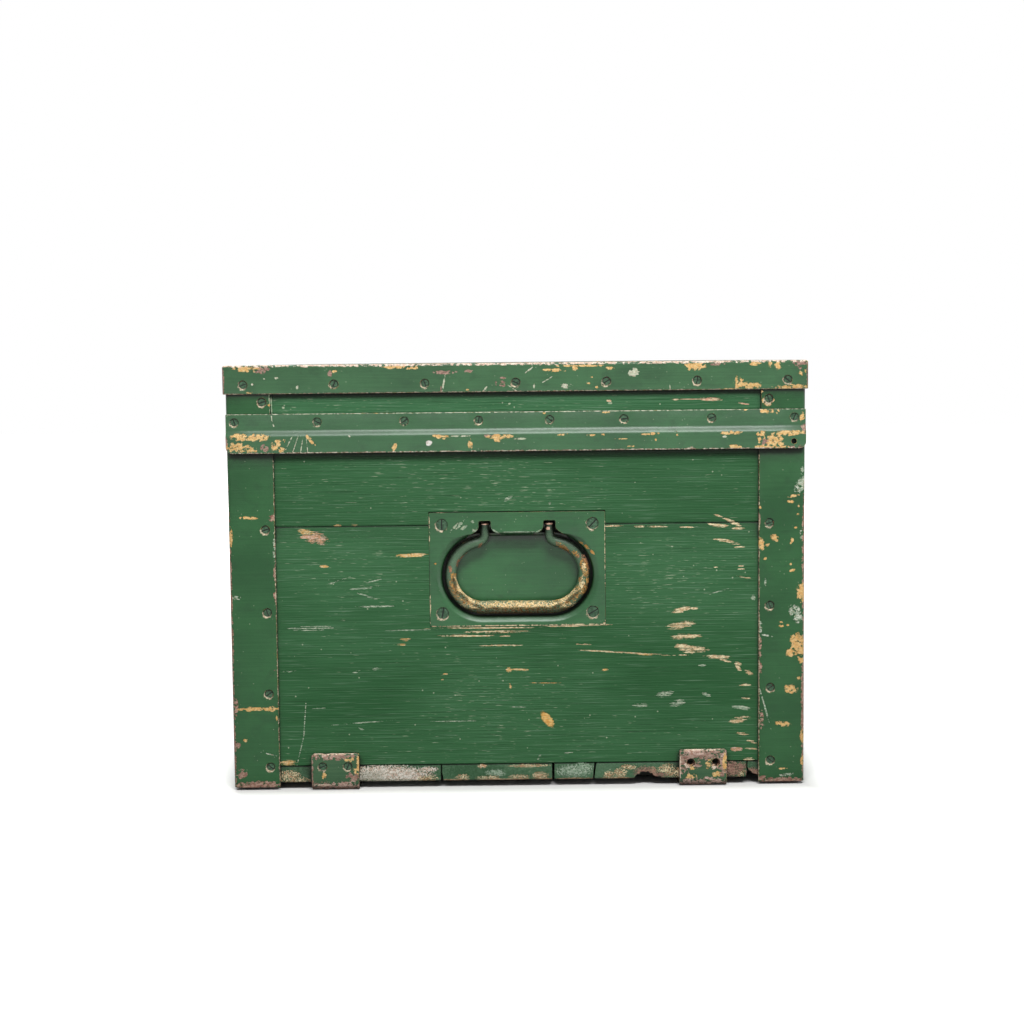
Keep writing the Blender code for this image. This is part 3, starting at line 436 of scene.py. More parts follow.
PANEL_SCRATCHES = (
    (-142.9, 184.9, 14, 0.9, 6), (-130.8, 191.7, 6, 0.6, 14), (-137, 178, 9, 0.7, -18),
    (-131.2, 168.4, 16, 0.7), (-163.3, 192.1, 9, 0.6, 18), (-189.9, 149.1, 16, 2),
    (-95.6, 146.3, 20, 0.5), (-209.6, 109.4, 8, 0.6, 4), (-140, 61.5, 24, 0.5, 4),
    (-144.4, 55.4, 3, 0.6, -25), (-182.8, 75.1, 5, 0.5), (-147.7, 108.7, 3, 1, 20),
    (-130.5, 110.6, 3, 1, 10), (-195.9, 64.8, 15.5, 0.45, 85), (-200.3, 36.8, 13.5, 0.45, 76),
    (1, 73.9, 6, 0.6, -3), (-57.3, 61.7, 17, 0.5), (45, 31, 4, 0.6, 6), (18.3, 27.2, 2.4, 0.9, 60),
    (133.6, 84.7, 7, 2.2, 8), (145.4, 76, 6, 2.4, 10), (111.5, 74.6, 6, 1.6), (171.8, 83.8, 4, 1.4, -22),
    (168, 110.4, 3.2, 1, 5), (214.6, 172.2, 1.8, 2.2), (204, 71, 7, 1.6, -10), (-7.5, 265.8, 4, 1.2, 30),
    (29.8, 261.2, 1.2, 1.2), (183, 178.5, 8, 0.5, 16),
)
PANEL_BARE = (
    (-183, 231.8, 11, 5, -15), (199.6, 32.5, 5, 1.8), (-191, 232, 5, 3, -10),
)
END_WEAR = (
    ("#c3ccb4", "#86a085", 8.0, PANEL_SCRATCHES),
    (BARE_PINE, "#dcbba6", 4.5, PANEL_BARE),
    (CREAM, "#cfae84", 4.5, PANEL_CREAM),
    (OCHRE, "#ecd0a0", 3.5, PANEL_OCHRE),
    ("#f0c980", "#e0a758", 1.2, ((26.1, 62.2, 9, 4.2, -52),)),
)
front_paint = painted_pine("green_oil_paint_on_knocked_pine", AXIS_X, *WALL_GREEN, END_WEAR)
end_paint = painted_pine("green_oil_paint_across_the_end", AXIS_X, *WALL_GREEN, scattered=WALL_CHIPS)
side_paint = painted_pine("green_oil_paint_along_the_sides", AXIS_Y, *WALL_GREEN, scattered=WALL_CHIPS)
WALL_PAINT = {
    "front_end": front_paint, "rear_end": end_paint, "left_side": side_paint, "right_side": side_paint}


def on_seam(x, y, z):
    """Whether a place is on the outer face beside the seam between the boards."""
    outside = abs(x) > WALL_SIDE - ON_EDGE or abs(y) > -END_FACE - ON_EDGE
    return outside and abs(z - SEAM) < SEAM_REACH


for wall, paint in WALL_PAINT.items():
    for name in (f"{wall}_lower_board", f"{wall}_upper_board"):
        piece(f"{name}_planed", eased(name, SEAM_EASE, on_seam), paint, "case", "painted_boards", name)


# Corner irons: a mild steel angle up each corner of the case, held by four slotted screws in each leg.
# The paint lies smoother than on the wood; it is knocked to the ochre primer, and rusts at the edges.

IRON_FACE, IRON_SIDE = -398.3, 261.3
IRON_EASE, IRON_BEND = 0.6, 2.4
IRON_DEEP, IRON_FADED = "#224f2b", "#2e5e36"
IRON_WEAR_REACH = 7             # how far behind the face a worn place reaches, in mm
DULL_GREEN = "#204027"
IRON_STAIN = "#a3714f"
# Patterns of the paint: length and width in mm
IRON_CLOUD, IRON_WAVE, IRON_BRUSH, IRON_FLAKE = (60, 45), (12, 9), (50, 1.3), (2.8, 2.2)
IRON_SPECKS = 6                 # mm between specks
RUB_RADIUS = 1.5                # how far from an edge the paint is rubbed, in mm
# How much one pattern sways another
BRUSHED_SHARE, SPECK_SHARE, SCALE_SHARE = 0.5, -0.1, 0.35
RUB_RAGGED, RUB_SHARE, CHIP_RAGGED = 0.5, -0.4, 0.8
# The range of each pattern that shows, and how strongly
IRON_SHADE = {"From Min": 0.58, "From Max": 0.92}
IRON_DULL = {"From Min": 0.45, "From Max": 0.3, "To Max": 0.3}
IRON_SPECK = {"From Min": 0.02, "From Max": 0.0, "To Max": 0.5}
EDGE_RUB = {"From Min": 0.62, "From Max": 0.56}
CHIPPED = {"From Min": 1.03, "From Max": 1.06}
# Chips are scattered only from this far behind the front face, in mm, where none is listed one by one
CHIPS_FROM, CHIPS_FULL = 4, 11
BEHIND = {"From Min": (END_FACE + CHIPS_FROM) * MM, "From Max": (END_FACE + CHIPS_FULL) * MM}
RUST_ROUGHNESS = 0.78
WAVE_RELIEF, GRIT_RELIEF, IRON_CHIP_RELIEF = 0.3, 0.06, -0.15


def painted_iron(name, layers=(), face=IRON_FACE, reach=IRON_WEAR_REACH, deep=IRON_DEEP, faded=IRON_FADED,
                 chipped=0.0, rubbed=1.0, turned=0.0, flake=IRON_FLAKE, gloss=0.3, roughness=0.45,
                 crevice=CREVICE):
    """Oil paint on mild steel: even and a little uneven underneath, rubbed off along the edges.

    The eye sees a soft sheen, brush unevenness, ochre primer and brown rust where it was knocked."""
    material, tree, place = bare_material(name)
    if turned:
        place = node(tree, "ShaderNodeMapping", {"Vector": place, "Rotation": (0, 0, turned)})
    cloud, uneven, brush, fine = (
        mottle(tree, place, AXIS_X, *pattern)
        for pattern in (IRON_CLOUD, IRON_WAVE, IRON_BRUSH, (*flake, *FLAKE_DETAIL)))
    brushed = node(tree, "ShaderNodeMath", {
        0: brush, 1: BRUSHED_SHARE, 2: cloud}, operation="MULTIPLY_ADD")
    speck = node(tree, "ShaderNodeTexVoronoi", {"Vector": place, "Scale": 1 / (IRON_SPECKS * MM)})
    speck = node(tree, "ShaderNodeMath", {0: cloud, 1: SPECK_SHARE, 2: speck}, operation="MULTIPLY_ADD")
    paint = marked(
        tree, linear(deep), (brushed, IRON_SHADE, faded), (uneven, IRON_DULL, DULL_GREEN),
        (speck, IRON_SPECK, PALE_SCRATCH))
    scales = node(tree, "ShaderNodeTexVoronoi", {"Vector": place, "Scale": 1 / (flake[0] * MM)})
    flaked = node(tree, "ShaderNodeMath", {
        0: scales.node.outputs["Color"], 1: SCALE_SHARE, 2: fine}, operation="MULTIPLY_ADD")
    ragged = node(tree, "ShaderNodeMath", {
        0: flaked, 1: NOISE_MEAN * (1 + SCALE_SHARE)}, operation="SUBTRACT")
    normal = node(tree, "ShaderNodeNewGeometry").node.outputs["Normal"]
    softened = node(tree, "ShaderNodeBevel", {"Radius": RUB_RADIUS * MM}, samples=SOFT_SAMPLES)
    facing = node(tree, "ShaderNodeVectorMath", {0: softened, 1: normal}, operation="DOT_PRODUCT")
    rub = node(tree, "ShaderNodeMath", {0: ragged, 1: RUB_RAGGED, 2: facing}, operation="MULTIPLY_ADD")
    rub = node(tree, "ShaderNodeMath", {0: cloud, 1: RUB_SHARE, 2: rub}, operation="MULTIPLY_ADD")
    edge = node(tree, "ShaderNodeMapRange", {"Value": rub, "To Max": rubbed, **EDGE_RUB})
    depth = node(tree, "ShaderNodeSeparateXYZ", {"Vector": place}).node.outputs["Y"]
    behind = node(tree, "ShaderNodeMapRange", {"Value": depth, **BEHIND})
    chip = node(tree, "ShaderNodeMath", {0: cloud, 1: chipped, 2: uneven}, operation="MULTIPLY_ADD")
    chip = node(tree, "ShaderNodeMath", {0: ragged, 1: CHIP_RAGGED, 2: chip}, operation="MULTIPLY_ADD")
    chip = node(tree, "ShaderNodeMapRange", {"Value": chip, **CHIPPED})
    chip = node(tree, "ShaderNodeMath", {0: chip, 1: behind}, operation="MULTIPLY")
    gone = node(tree, "ShaderNodeMath", {0: edge, 1: chip}, operation="MAXIMUM")
    under = marked(tree, linear(RUST), (uneven, FLECKED, OCHRE))
    # Painted shade and grime in the corners and under overhangs, then rust and primer where the paint is gone
    paint = node(tree, "ShaderNodeMix", {
        "Factor": gone, "A": dirtied_and_shaded(tree, paint, crevice), "B": under}, data_type="RGBA")
    paint, gone = layers_laid_over(tree, place, paint, gone, layers, face, reach, ragged, IRON_STAIN)
    roughness = node(tree, "ShaderNodeMapRange", {
        "Value": gone, "To Min": roughness, "To Max": RUST_ROUGHNESS})
    finish(
        tree, paint, roughness, gloss, (uneven, WAVE_RELIEF), (fine, GRIT_RELIEF),
        (gone, IRON_CHIP_RELIEF))
    return material


# Slotted countersunk screws: sizes in mm, the head's flat top lying below the face
SMALL_SCREW = {
    "Head Radius": 3.25, "Head Height": 0.4, "Sunk Depth": 0.9, "Slot Width": 0.95, "Slot Depth": 0.32}
SEAT_PLAY, SEAT_ABOVE, SEAT_SIDES = 0.1, 0.3, 28
SIDE_TURN = {"front": 0.0, "right": math.pi / 2, "rear": math.pi, "left": -math.pi / 2}
# Marks at a screw's seat: how far out and up from its middle they lie
SEAT_CHIP_AND_HIGHLIGHT = (-0.45, -0.8)       # its lower side is chipped, and carries a painted highlight where the countersink's lower wall faces the light
# dirt in the seat, and painted shade on the countersink's upper wall
SEAT_DIRT_AND_SHADE = (0.15, 0.45)
screw_places = {"case": [], "lid": []}


def seat_radius(screw):
    """The radius of a screw's countersink at the face."""
    return screw["Head Radius"] + SEAT_PLAY + screw["Sunk Depth"]


def countersinks(places, screw):
    """One cutter with a cone for each screw's place, from above the face to under the head."""
    shape = bmesh.new()
    depth = screw["Sunk Depth"] + screw["Head Height"]
    radius = seat_radius(screw)
    for x, y, z, side in places:
        outwards = Matrix.Rotation(SIDE_TURN[side], 4, "Z") @ Matrix.Rotation(math.pi / 2, 4, "X")
        sunk = Matrix.Translation((0, 0, (SEAT_ABOVE - depth) / 2 * MM))
        bmesh.ops.create_cone(
            shape, cap_ends=True, segments=SEAT_SIDES, radius1=(radius - depth) * MM,
            radius2=(radius + SEAT_ABOVE) * MM, depth=(depth + SEAT_ABOVE) * MM,
            matrix=Matrix.Translation((x * MM, y * MM, z * MM)) @ outwards @ sunk)
    return whole(shape, "countersinks")


def seated(mesh, body, places, screw=SMALL_SCREW):
    """The mesh with a countersink for each screw, whose place is kept for the screws of that body."""
    screw_places[body] += places
    return carved(mesh, [countersinks(places, screw)])


def seat_wear_and_painted_light(places, screw=SMALL_SCREW):
    """Two layers at screws in X and Z: a pale crescent below, chipped and painted as a highlight, and dirt
    with painted shade in the seat's upper part.
    """
    reach = seat_radius(screw)
    chips, dirt = (
        [(x + out, z + up, reach, reach) for x, z in places] for out, up in (SEAT_CHIP_AND_HIGHLIGHT, SEAT_DIRT_AND_SHADE))
    return ("#e9dcc0", "#a99a7c", 1.6, chips), (GRIME_AND_SHADE, "#243326", 0.7, dirt)


IRON_SCREWS = (
    ((-227.8, 239.4), (-227.8, 163.8), (-227.8, 88.9), (-227.8, 21.4)),
    ((229, 241), (229.4, 165.4), (230, 89.7), (230.4, 22.4)),
)
IRON_SIDE_SCREW = 366.0         # how far along the chest the screws of the other leg are
RIGHT_IRON_OCHRE = (
    (258.2, 177.1, 4, 8.5), (240.1, 150.7, 2, 1.6), (240.1, 146.6, 2, 1.1), (246, 147.4, 1.3, 0.8),
    (255.3, 129.5, 6, 11, 10), (248.4, 122.6, 3.4, 4.6, -30), (258.2, 114.2, 2.4, 3.4),
    (256, 98.1, 1.6, 1.9), (249.1, 88.8, 5.6, 4.2), (241, 56.3, 7, 2.2, -4), (260.1, 44.5, 2.6, 5.5),
    (260.2, 21.4, 2.2, 4), (242.4, 14.5, 3.6, 1), (251, 265.5, 5, 1.2, 12), (248, 260.2, 3.4, 1.5),
    (255.2, 256.7, 1.2, 2), (254.4, 248.8, 1.8, 0.9, 15), (253, 236.7, 1.4, 0.9),
    (233.6, 227.6, 4, 3.4, -25), (249.4, 224.2, 1.6, 2.8, -10), (221.4, 222.7, 2.6, 5.6, 15),
    (226.6, 220.7, 3.2, 1, 20), (220.5, 255.2, 1.2, 1.5, 30), (225.3, 208.6, 1.6, 1.1, 20),
    (249.9, 197.6, 2.4, 1.1, 20), (248.5, 203.2, 1, 1), (257.4, 181, 3, 5),
)
RIGHT_IRON_RUST = (
    (261.2, 203, 2.4, 66), (261.2, 73, 2.6, 70), (220.6, 126.8, 1.6, 9), (220.9, 107.7, 1.6, 5),
    (222.1, 60.3, 1.8, 8), (222.8, 5.5, 4, 3), (240, 3, 26, 3.2), (219.5, 245, 1.2, 5),
)
RIGHT_IRON_PALE = (
    (253.3, 157.5, 4.5, 8, 25), (225.2, 71.8, 17.5, 0.6, -74.5), (221.2, 145.2, 1.4, 5),
    (226.3, 138.1, 4.5, 0.7, -12), (245.6, 8.9, 6.5, 1.1, 5), (257, 276, 4, 7, -25), (258.5, 287, 1.4, 5),
    (258.1, 230.6, 1.6, 4), (225.3, 187, 0.8, 4),
)
LEFT_IRON_OCHRE = (
    (-236.7, 75.4, 19, 1.5, 0.5), (-246, 75.4, 3, 2.2), (-226, 75.4, 4, 2.4), (-243.7, 250.7, 9, 1.2, -2),
    (-259.4, 232.9, 1.8, 9), (-250.2, 46.7, 1.8, 1.4), (-221, 67, 1, 2.5),
)
LEFT_IRON_RUST = (
    (-221.6, 250.5, 3, 3), (-219.3, 198.1, 1.8, 9), (-219.8, 179.2, 1.8, 5), (-256.3, 42.4, 2.5, 3),
    (-258.1, 77.4, 1.8, 8), (-254.3, 15.5, 5, 4), (-239, 4, 25, 4.2), (-261.2, 153, 2.0, 110),
    (-261.2, 40, 2.4, 40), (-218.5, 23, 1.5, 12),
)
LEFT_IRON_PALE = (
    (-219.1, 223.9, 2.2, 12), (-255.7, 177.9, 4, 1.4), (-228.1, 33.3, 7, 0.5, -14),
)
IRON_WEAR_AND_PAINTED_LIGHT = (
    ("#d4dac8", "#7d9a7c", 6.5, RIGHT_IRON_PALE + LEFT_IRON_PALE),
    ("#94695c", "#c4a592", 4.0, RIGHT_IRON_RUST + LEFT_IRON_RUST),
    ("#d9cdae", "#7c6350", 6.0, ((-218.9, 130, 1.0, 180), (219.5, 130, 0.7, 180))),
    (OCHRE, "#ecc88c", 3.5, RIGHT_IRON_OCHRE + LEFT_IRON_OCHRE),
) + seat_wear_and_painted_light(IRON_SCREWS[0] + IRON_SCREWS[1])
iron_paint = painted_iron("green_oil_paint_on_corner_irons", IRON_WEAR_AND_PAINTED_LIGHT, chipped=0.62)


def corner_screws(end, places):
    """The screws of an angle at a corner: in the leg on its end, and as high in the leg on its side."""
    sign = 1 if end == "front" else -1
    screws_here = []
    for x, z in places:
        side = "left" if sign * x < 0 else "right"
        screws_here.append((sign * x, sign * IRON_FACE, z, end))
        screws_here.append((math.copysign(IRON_SIDE, sign * x), -sign * IRON_SIDE_SCREW, z, side))
    return side, screws_here


def on_bend(x, y, z):
    """Whether a place is on the outer bend of an angle at a corner."""
    return abs(x) > IRON_SIDE - ON_EDGE and abs(y) > -IRON_FACE - ON_EDGE


def corner_irons(named, corners, paint, body):
    """The four angles of the case or of the lid, from the places of the screws at the two front corners."""
    for end in ("front", "rear"):
        for places in corners:
            side, screws_here = corner_screws(end, places)
            name = named.format(end=end, side=side)
            mesh = seated(eased(name, IRON_EASE, None, IRON_BEND, on_bend), body, screws_here)
            piece(f"{name}_bent", mesh, paint, body, "painted_iron", name)


corner_irons("{end}_{side}_corner_iron", IRON_SCREWS, iron_paint, "case")


# Runners: two flat steel bars under the floor, their ends turned up on the end walls and screwed.
# They take the scraping, so most of the paint has given way to brown rust, the right one more.
# The right one has lost the two screws of its front end.

RUNNER_FACE = -402.3
RUNNER_EASE = 0.7
RUNNER_TOP, RUNNER_CORNER = 33.7, 2.4
RUNNER_MIDDLE, RUNNER_HALF = 168.3, 21.5
RUNNER_SCREW_HEIGHT, RUNNER_SCREWS_OUT = 21.9, (-11.5, 11.5)
EMPTY_HOLE, HOLE_DEPTH, HOLE_SIDES = 3.9, 5.0, 24
LEFT_SCREWS, LOST_SCREWS = (
    [(middle + out, RUNNER_SCREW_HEIGHT) for out in RUNNER_SCREWS_OUT]
    for middle in (-RUNNER_MIDDLE, RUNNER_MIDDLE))
EMPTY_HOLES = [(x, z, EMPTY_HOLE, EMPTY_HOLE) for x, z in LOST_SCREWS]
RUNNER_WEAR_AND_PAINTED_LIGHT = (
    ("#8f6c60", "#b3998a", 4.5, (
        (168, 30, 23, 6), (152, 22, 6, 10), (185, 20, 6, 11), (168, 3, 23, 5), (163, 20, 4, 4),
        (-168.3, 31.4, 23, 3), (-168.3, 2.8, 23, 5), (-189.8, 17, 1.4, 16), (-152, 12, 6, 5))),
    ("#eedcc8", "#c9a58c", 3.5, (
        (155.4, 19.6, 4.6, 4), (177.8, 19, 4.4, 4), (168, 33.6, 22, 0.9), (147.2, 15, 0.9, 14),
        (-168.3, 33.6, 22, 0.8), (-178, 5, 10, 1.2))),
    ("#d8bfb0", "#a98678", 6.0, (
        (170, 5, 16, 3), (187, 26, 3, 6), (-160, 6, 14, 2.6), (-176, 31, 8, 1.4), (160, 31, 10, 2))),
    (OCHRE, "#f0cf92", 4.5, (
        (174, 20, 3.4, 4), (157, 9.4, 5, 2), (180, 11, 3.4, 3), (188, 22, 2, 8), (158, 17, 2, 2),
        (-147.4, 24, 1.4, 9), (-150, 18, 2, 2.4), (-178.4, 13, 2.4, 3), (-155, 28.5, 4, 2))),
    ("#3a2018", "#180c08", 0.5, EMPTY_HOLES),
) + seat_wear_and_painted_light(LEFT_SCREWS)
runner_paint = painted_iron(
    "green_oil_paint_on_rusted_runners", RUNNER_WEAR_AND_PAINTED_LIGHT, RUNNER_FACE, reach=9, deep="#33573a", faded="#496a49",
    chipped=0.9)


def round_hole(x, z, radius):
    """Points round a hole in X and Z."""
    turns = [2 * math.pi * side / HOLE_SIDES for side in range(HOLE_SIDES)]
    return [(x + radius * math.cos(turn), z + radius * math.sin(turn)) for turn in turns]


def on_corner(x, y, z):
    """Whether a place is at an upper corner of a runner's turned-up end."""
    return z > RUNNER_TOP - ON_EDGE and abs(abs(x) - RUNNER_MIDDLE) > RUNNER_HALF - ON_EDGE


for name, front_screws in (("left_runner", LEFT_SCREWS), ("right_runner", LOST_SCREWS)):
    mesh = eased(name, RUNNER_EASE, None, RUNNER_CORNER, on_corner)
    if front_screws is LOST_SCREWS:
        holes = [round_hole(x, z, EMPTY_HOLE) for x, z in LOST_SCREWS]
        mesh = carved(mesh, [
            prism(hole, RUNNER_FACE - CUT_PAST, RUNNER_FACE + HOLE_DEPTH) for hole in holes])
    else:
        mesh = seated(mesh, "case", [(x, RUNNER_FACE, z, "front") for x, z in front_screws])
    mesh = seated(mesh, "case", [(x, -RUNNER_FACE, z, "rear") for x, z in front_screws])
    piece(f"{name}_bent", mesh, runner_paint, "case", "runner_steel", name)


# Handle plates: a steel sheet let in flush on each end, pressed to a dish that takes the bail and the hand.
# Two slots in its upper part let the legs of the bail through to the strap behind it.

PIVOT = 240.8
PLATE_HALF, PLATE_TOP, PLATE_BOTTOM = 79.9, 12.6, -91.7
PLATE_CORNER, CORNER_STEPS = 1.5, 4
PLATE_SHEET = 1.6
PLATE_CREVICE = 7.0             # less grime and painted shade in the dish
DISH_DROP, DISH_SPREAD, DISH_THROAT = -45.3, 31.0, 37.4
# Rings of the dish from the plate's face to its floor: radius and depth
DISH_RINGS = (
    (44.2, 0.0), (43.2, 0.15), (42.2, 0.6), (41.2, 1.25), (40.2, 1.95), (39.2, 2.7), (38.4, 3.5), (37.8, 4.6),
    (37.4, 6.4), (36.4, 11.6), (35.8, 13.4), (34.6, 14.9), (32.8, 15.7), (30.5, 15.8),
)
ROLL_FULL, ROLL_TIGHT = 50, 75  # degrees above level between which the rolled edge narrows
ROLL_LEAST = 0.3
ROUND_STEPS = 36
LEG_PLACE = 29.4
# Half outlines of a leg's slot towards the middle of the plate and away from it: out from the leg and up
SLOT_INNER = (
    (4.3, 4.7), (5.2, 4.3), (5.5, 3.4), (5.5, 0.0), (6.0, -2.2), (7.3, -4.3), (9.4, -6.1), (12.0, -7.2),
    (14.6, -7.7), (15.0, -14.0))
SLOT_OUTER = (
    (4.3, 4.7), (5.2, 4.3), (5.5, 3.4), (5.5, -1.0), (6.2, -3.0), (8.2, -5.0), (11.0, -6.8), (14.5, -8.8),
    (17.0, -11.0), (17.0, -14.0))
SLOT_DEPTH = 12.9


def stadium_ring(radius, depth):
    """Points of the dish's outline at a radius and a depth; its rolled edge is tight between the legs."""
    points = []
    for hand, start in ((1, -90), (-1, 90)):
        for step in range(ROUND_STEPS + 1):
            turn = math.radians(start + 180 * step / ROUND_STEPS)
            upward = math.degrees(math.asin(math.sin(turn)))
            share = min(max((upward - ROLL_FULL) / (ROLL_TIGHT - ROLL_FULL), 0.0), 1.0)
            roll = max(radius - DISH_THROAT, 0.0) * (1 - (1 - ROLL_LEAST) * share)
            out = min(radius, DISH_THROAT) + roll
            points.append((
                hand * DISH_SPREAD + out * math.cos(turn), END_FACE + depth,
                PIVOT + DISH_DROP + out * math.sin(turn)))
    return points


def rounded_box(left, right, bottom, top, radius):
    """Points round a rectangle with rounded corners."""
    corners = (
        (right - radius, bottom + radius, -90), (right - radius, top - radius, 0),
        (left + radius, top - radius, 90), (left + radius, bottom + radius, 180))
    points = []
    for x, z, start in corners:
        for step in range(CORNER_STEPS + 1):
            turn = math.radians(start + 90 * step / CORNER_STEPS)
            points.append((x + radius * math.cos(turn), z + radius * math.sin(turn)))
    return points


def leg_slot(hand):
    """The outline of a leg's slot: straight at the top, flaring out where it runs into the dish."""
    inner = [(hand * (LEG_PLACE - out), PIVOT + up) for out, up in SLOT_INNER]
    return inner + [(hand * (LEG_PLACE + out), PIVOT + up) for out, up in SLOT_OUTER[::-1]]


def pressed_plate():
    """The front plate: a flat sheet round the dish's mouth, the rings of the dish, and its floor."""
    shape = bmesh.new()
    outline = rounded_box(-PLATE_HALF, PLATE_HALF, PIVOT + PLATE_BOTTOM, PIVOT + PLATE_TOP, PLATE_CORNER)
    rim = [shape.verts.new((x * MM, END_FACE * MM, z * MM)) for x, z in outline]
    rings = []
    for radius, depth in DISH_RINGS:
        rings.append([
            shape.verts.new([part * MM for part in point]) for point in stadium_ring(radius, depth)])
    edges = []
    for loop in (rim, rings[0]):
        edges += [shape.edges.new((loop[i - 1], loop[i])) for i in range(len(loop))]
    bmesh.ops.triangle_fill(shape, edges=edges, use_beauty=True)
    for outer, inner in zip(rings, rings[1:]):
        for i in range(len(outer)):
            shape.faces.new((outer[i - 1], outer[i], inner[i], inner[i - 1]))
    shape.faces.new(rings[-1])
    bmesh.ops.recalc_face_normals(shape, faces=shape.faces)
    towards = max(shape.faces, key=lambda face: face.calc_area())
    if towards.normal.y > 0:
        bmesh.ops.reverse_faces(shape, faces=shape.faces)
    bmesh.ops.solidify(shape, geom=shape.faces, thickness=PLATE_SHEET * MM)
    return whole(shape, "pressed_plate")


PLATE_SCREW = {
    "Head Radius": 5.0, "Head Height": 0.5, "Sunk Depth": 0.6, "Slot Width": 1.2, "Slot Depth": 0.4}
# Screws of a plate: place in X and Z, and the turn of the slot
PLATE_SCREWS = ((-68.4, 242.0, 90), (68.4, 242.0, 45), (-68.4, 161.1, 78), (68.4, 161.1, 30))
PLATE_WEAR_AND_PAINTED_LIGHT = (
    (PALE_SCRATCH, "#8fa88d", 7.0, (
        (-56.5, 240.5, 6, 0.9, 48), (-51.5, 242.5, 5, 1.0, 48), (-48, 239.5, 3, 1.2, 35),
        (-38, 236.4, 2, 3), (-40.3, 244.7, 1.3, 1.3), (26.8, 180.6, 1.6, 1.4), (4.1, 180.3, 1.3, 1))),
    (CREAM, "#c9b48f", 9.0, (
        (-10, 149.2, 70, 0.7), (60, 149.3, 24, 0.9), (-79.8, 238, 0.6, 9), (-79.8, 166, 0.6, 10),
        (79.8, 215, 0.4, 26), (-70, 254, 8, 0.7), (24, 254, 14, 0.5), (79.4, 151, 1.2, 3))),
    ("#a9bfa7", "#7f9c80", 2.5, (
        (0, 234.9, 17, 0.7), (-18.6, 235.2, 4.5, 0.8, -32), (18.6, 235.2, 4.5, 0.8, 32))),
    (OCHRE, "#d99c4e", 2.4, (
        (63.5, 220.5, 3.4, 1.4, -40), (58, 224.5, 3, 1.2, -30), (-74.6, 206.5, 1.2, 1.2),
        (68, 216, 3, 1.2, -45))),
) + seat_wear_and_painted_light([(x, z) for x, z, slot in PLATE_SCREWS], PLATE_SCREW)
slots = [prism(leg_slot(hand), END_FACE - CUT_PAST, END_FACE + SLOT_DEPTH) for hand in (-1, 1)]
seats = countersinks([(x, END_FACE, z, "front") for x, z, slot in PLATE_SCREWS], PLATE_SCREW)
plate_mesh = carved(pressed_plate(), slots + [seats])


def on_end(mesh, end):
    """A copy of a front piece's mesh, turned round for the rear end."""
    mesh = mesh.copy()
    mesh.transform(Matrix.Rotation(SIDE_TURN[end], 4, "Z"))
    return mesh


for end in ("front", "rear"):
    paint = painted_iron(
        f"green_oil_paint_on_{end}_plate", PLATE_WEAR_AND_PAINTED_LIGHT, END_FACE, reach=9, deep="#23542e", faded="#30663a",
        rubbed=0.25, turned=SIDE_TURN[end], gloss=0.42, roughness=0.34, crevice=PLATE_CREVICE)
    name = f"{end}_handle_plate"
    piece(f"{name}_pressed", on_end(plate_mesh, end), paint, "case", "painted_iron", name)
    coat(nodes[f"{end}_handle_pivot_strap"].data, paint)


# Bails: a drop handle bent from round steel rod, with flat-topped legs and a pin at the top of each.
# Hands have worn the green paint off the grip, down to ochre primer and brown steel. Its upper side is
# painted with highlights, its lower side with shade.

LEG_TOP, TOP_EASE, TOP_CHAMFER = 2.2, 1.1, 0.4
LEG_RADIUS, ARC_RADIUS, GRIP_RADIUS = 4.3, 4.7, 6.0
PIN_FROM, PIN_TO, PIN_RADIUS, PIN_CHAMFER = 9.0, 26.0, 2.2, 0.4
NECK_RADIUS, NECK_HEIGHT = 8.0, -7.84
LOOP_RADIUS = 30.0
BAIL_DEPTH = END_FACE + 6.8
BAIL_FLAKE = (1.0, 0.8)
ROD_SIDES = 28
TURN_STEP = 5                   # degrees between points round a bend


def bail_line():
    """The centre line of the bail from the top of its right leg to the middle of the grip, with radii."""
    across = LEG_PLACE + NECK_RADIUS - DISH_SPREAD
    lean = math.degrees(math.acos(across / (LOOP_RADIUS + NECK_RADIUS)))
    line = [
        (LEG_PLACE, LEG_TOP, LEG_RADIUS - TOP_EASE),
        (LEG_PLACE, LEG_TOP - TOP_CHAMFER, LEG_RADIUS - TOP_CHAMFER),
        (LEG_PLACE, LEG_TOP - TOP_EASE, LEG_RADIUS), (LEG_PLACE, NECK_HEIGHT / 2, LEG_RADIUS)]
    steps = round(lean / TURN_STEP)
    for step in range(steps + 1):
        turn = math.radians(180 + lean * step / steps)
        swell = (ARC_RADIUS - LEG_RADIUS) * step / steps
        line.append((LEG_PLACE + NECK_RADIUS + NECK_RADIUS * math.cos(turn),
                     NECK_HEIGHT + NECK_RADIUS * math.sin(turn), LEG_RADIUS + swell))
    steps = round((lean + 90) / TURN_STEP)
    for step in range(1, steps + 1):
        turn = math.radians(lean - (lean + 90) * step / steps)
        swell = (GRIP_RADIUS - ARC_RADIUS) * step / steps
        line.append((DISH_SPREAD + LOOP_RADIUS * math.cos(turn),
                     DISH_DROP + LOOP_RADIUS * math.sin(turn), ARC_RADIUS + swell))
    return line


def rod(line):
    """A round rod along a line in X and Z from the pivot, with a radius at each point, closed at its ends."""
    shape = bmesh.new()
    rings = []
    for i, (x, z, radius) in enumerate(line):
        before, after = line[max(i - 1, 0)], line[min(i + 1, len(line) - 1)]
        run = math.hypot(after[0] - before[0], after[1] - before[1])
        side = ((after[1] - before[1]) / run, -(after[0] - before[0]) / run)
        ring = []
        for step in range(ROD_SIDES):
            turn = 2 * math.pi * step / ROD_SIDES
            out = radius * math.cos(turn)
            ring.append(shape.verts.new((
                (x + out * side[0]) * MM, (BAIL_DEPTH + radius * math.sin(turn)) * MM,
                (PIVOT + z + out * side[1]) * MM)))
        rings.append(ring)
    for first, second in zip(rings, rings[1:]):
        for i in range(ROD_SIDES):
            shape.faces.new((first[i - 1], first[i], second[i], second[i - 1]))
    shape.faces.new(rings[0])
    shape.faces.new(rings[-1])
    bmesh.ops.recalc_face_normals(shape, faces=shape.faces)
    return whole(shape, "rod")


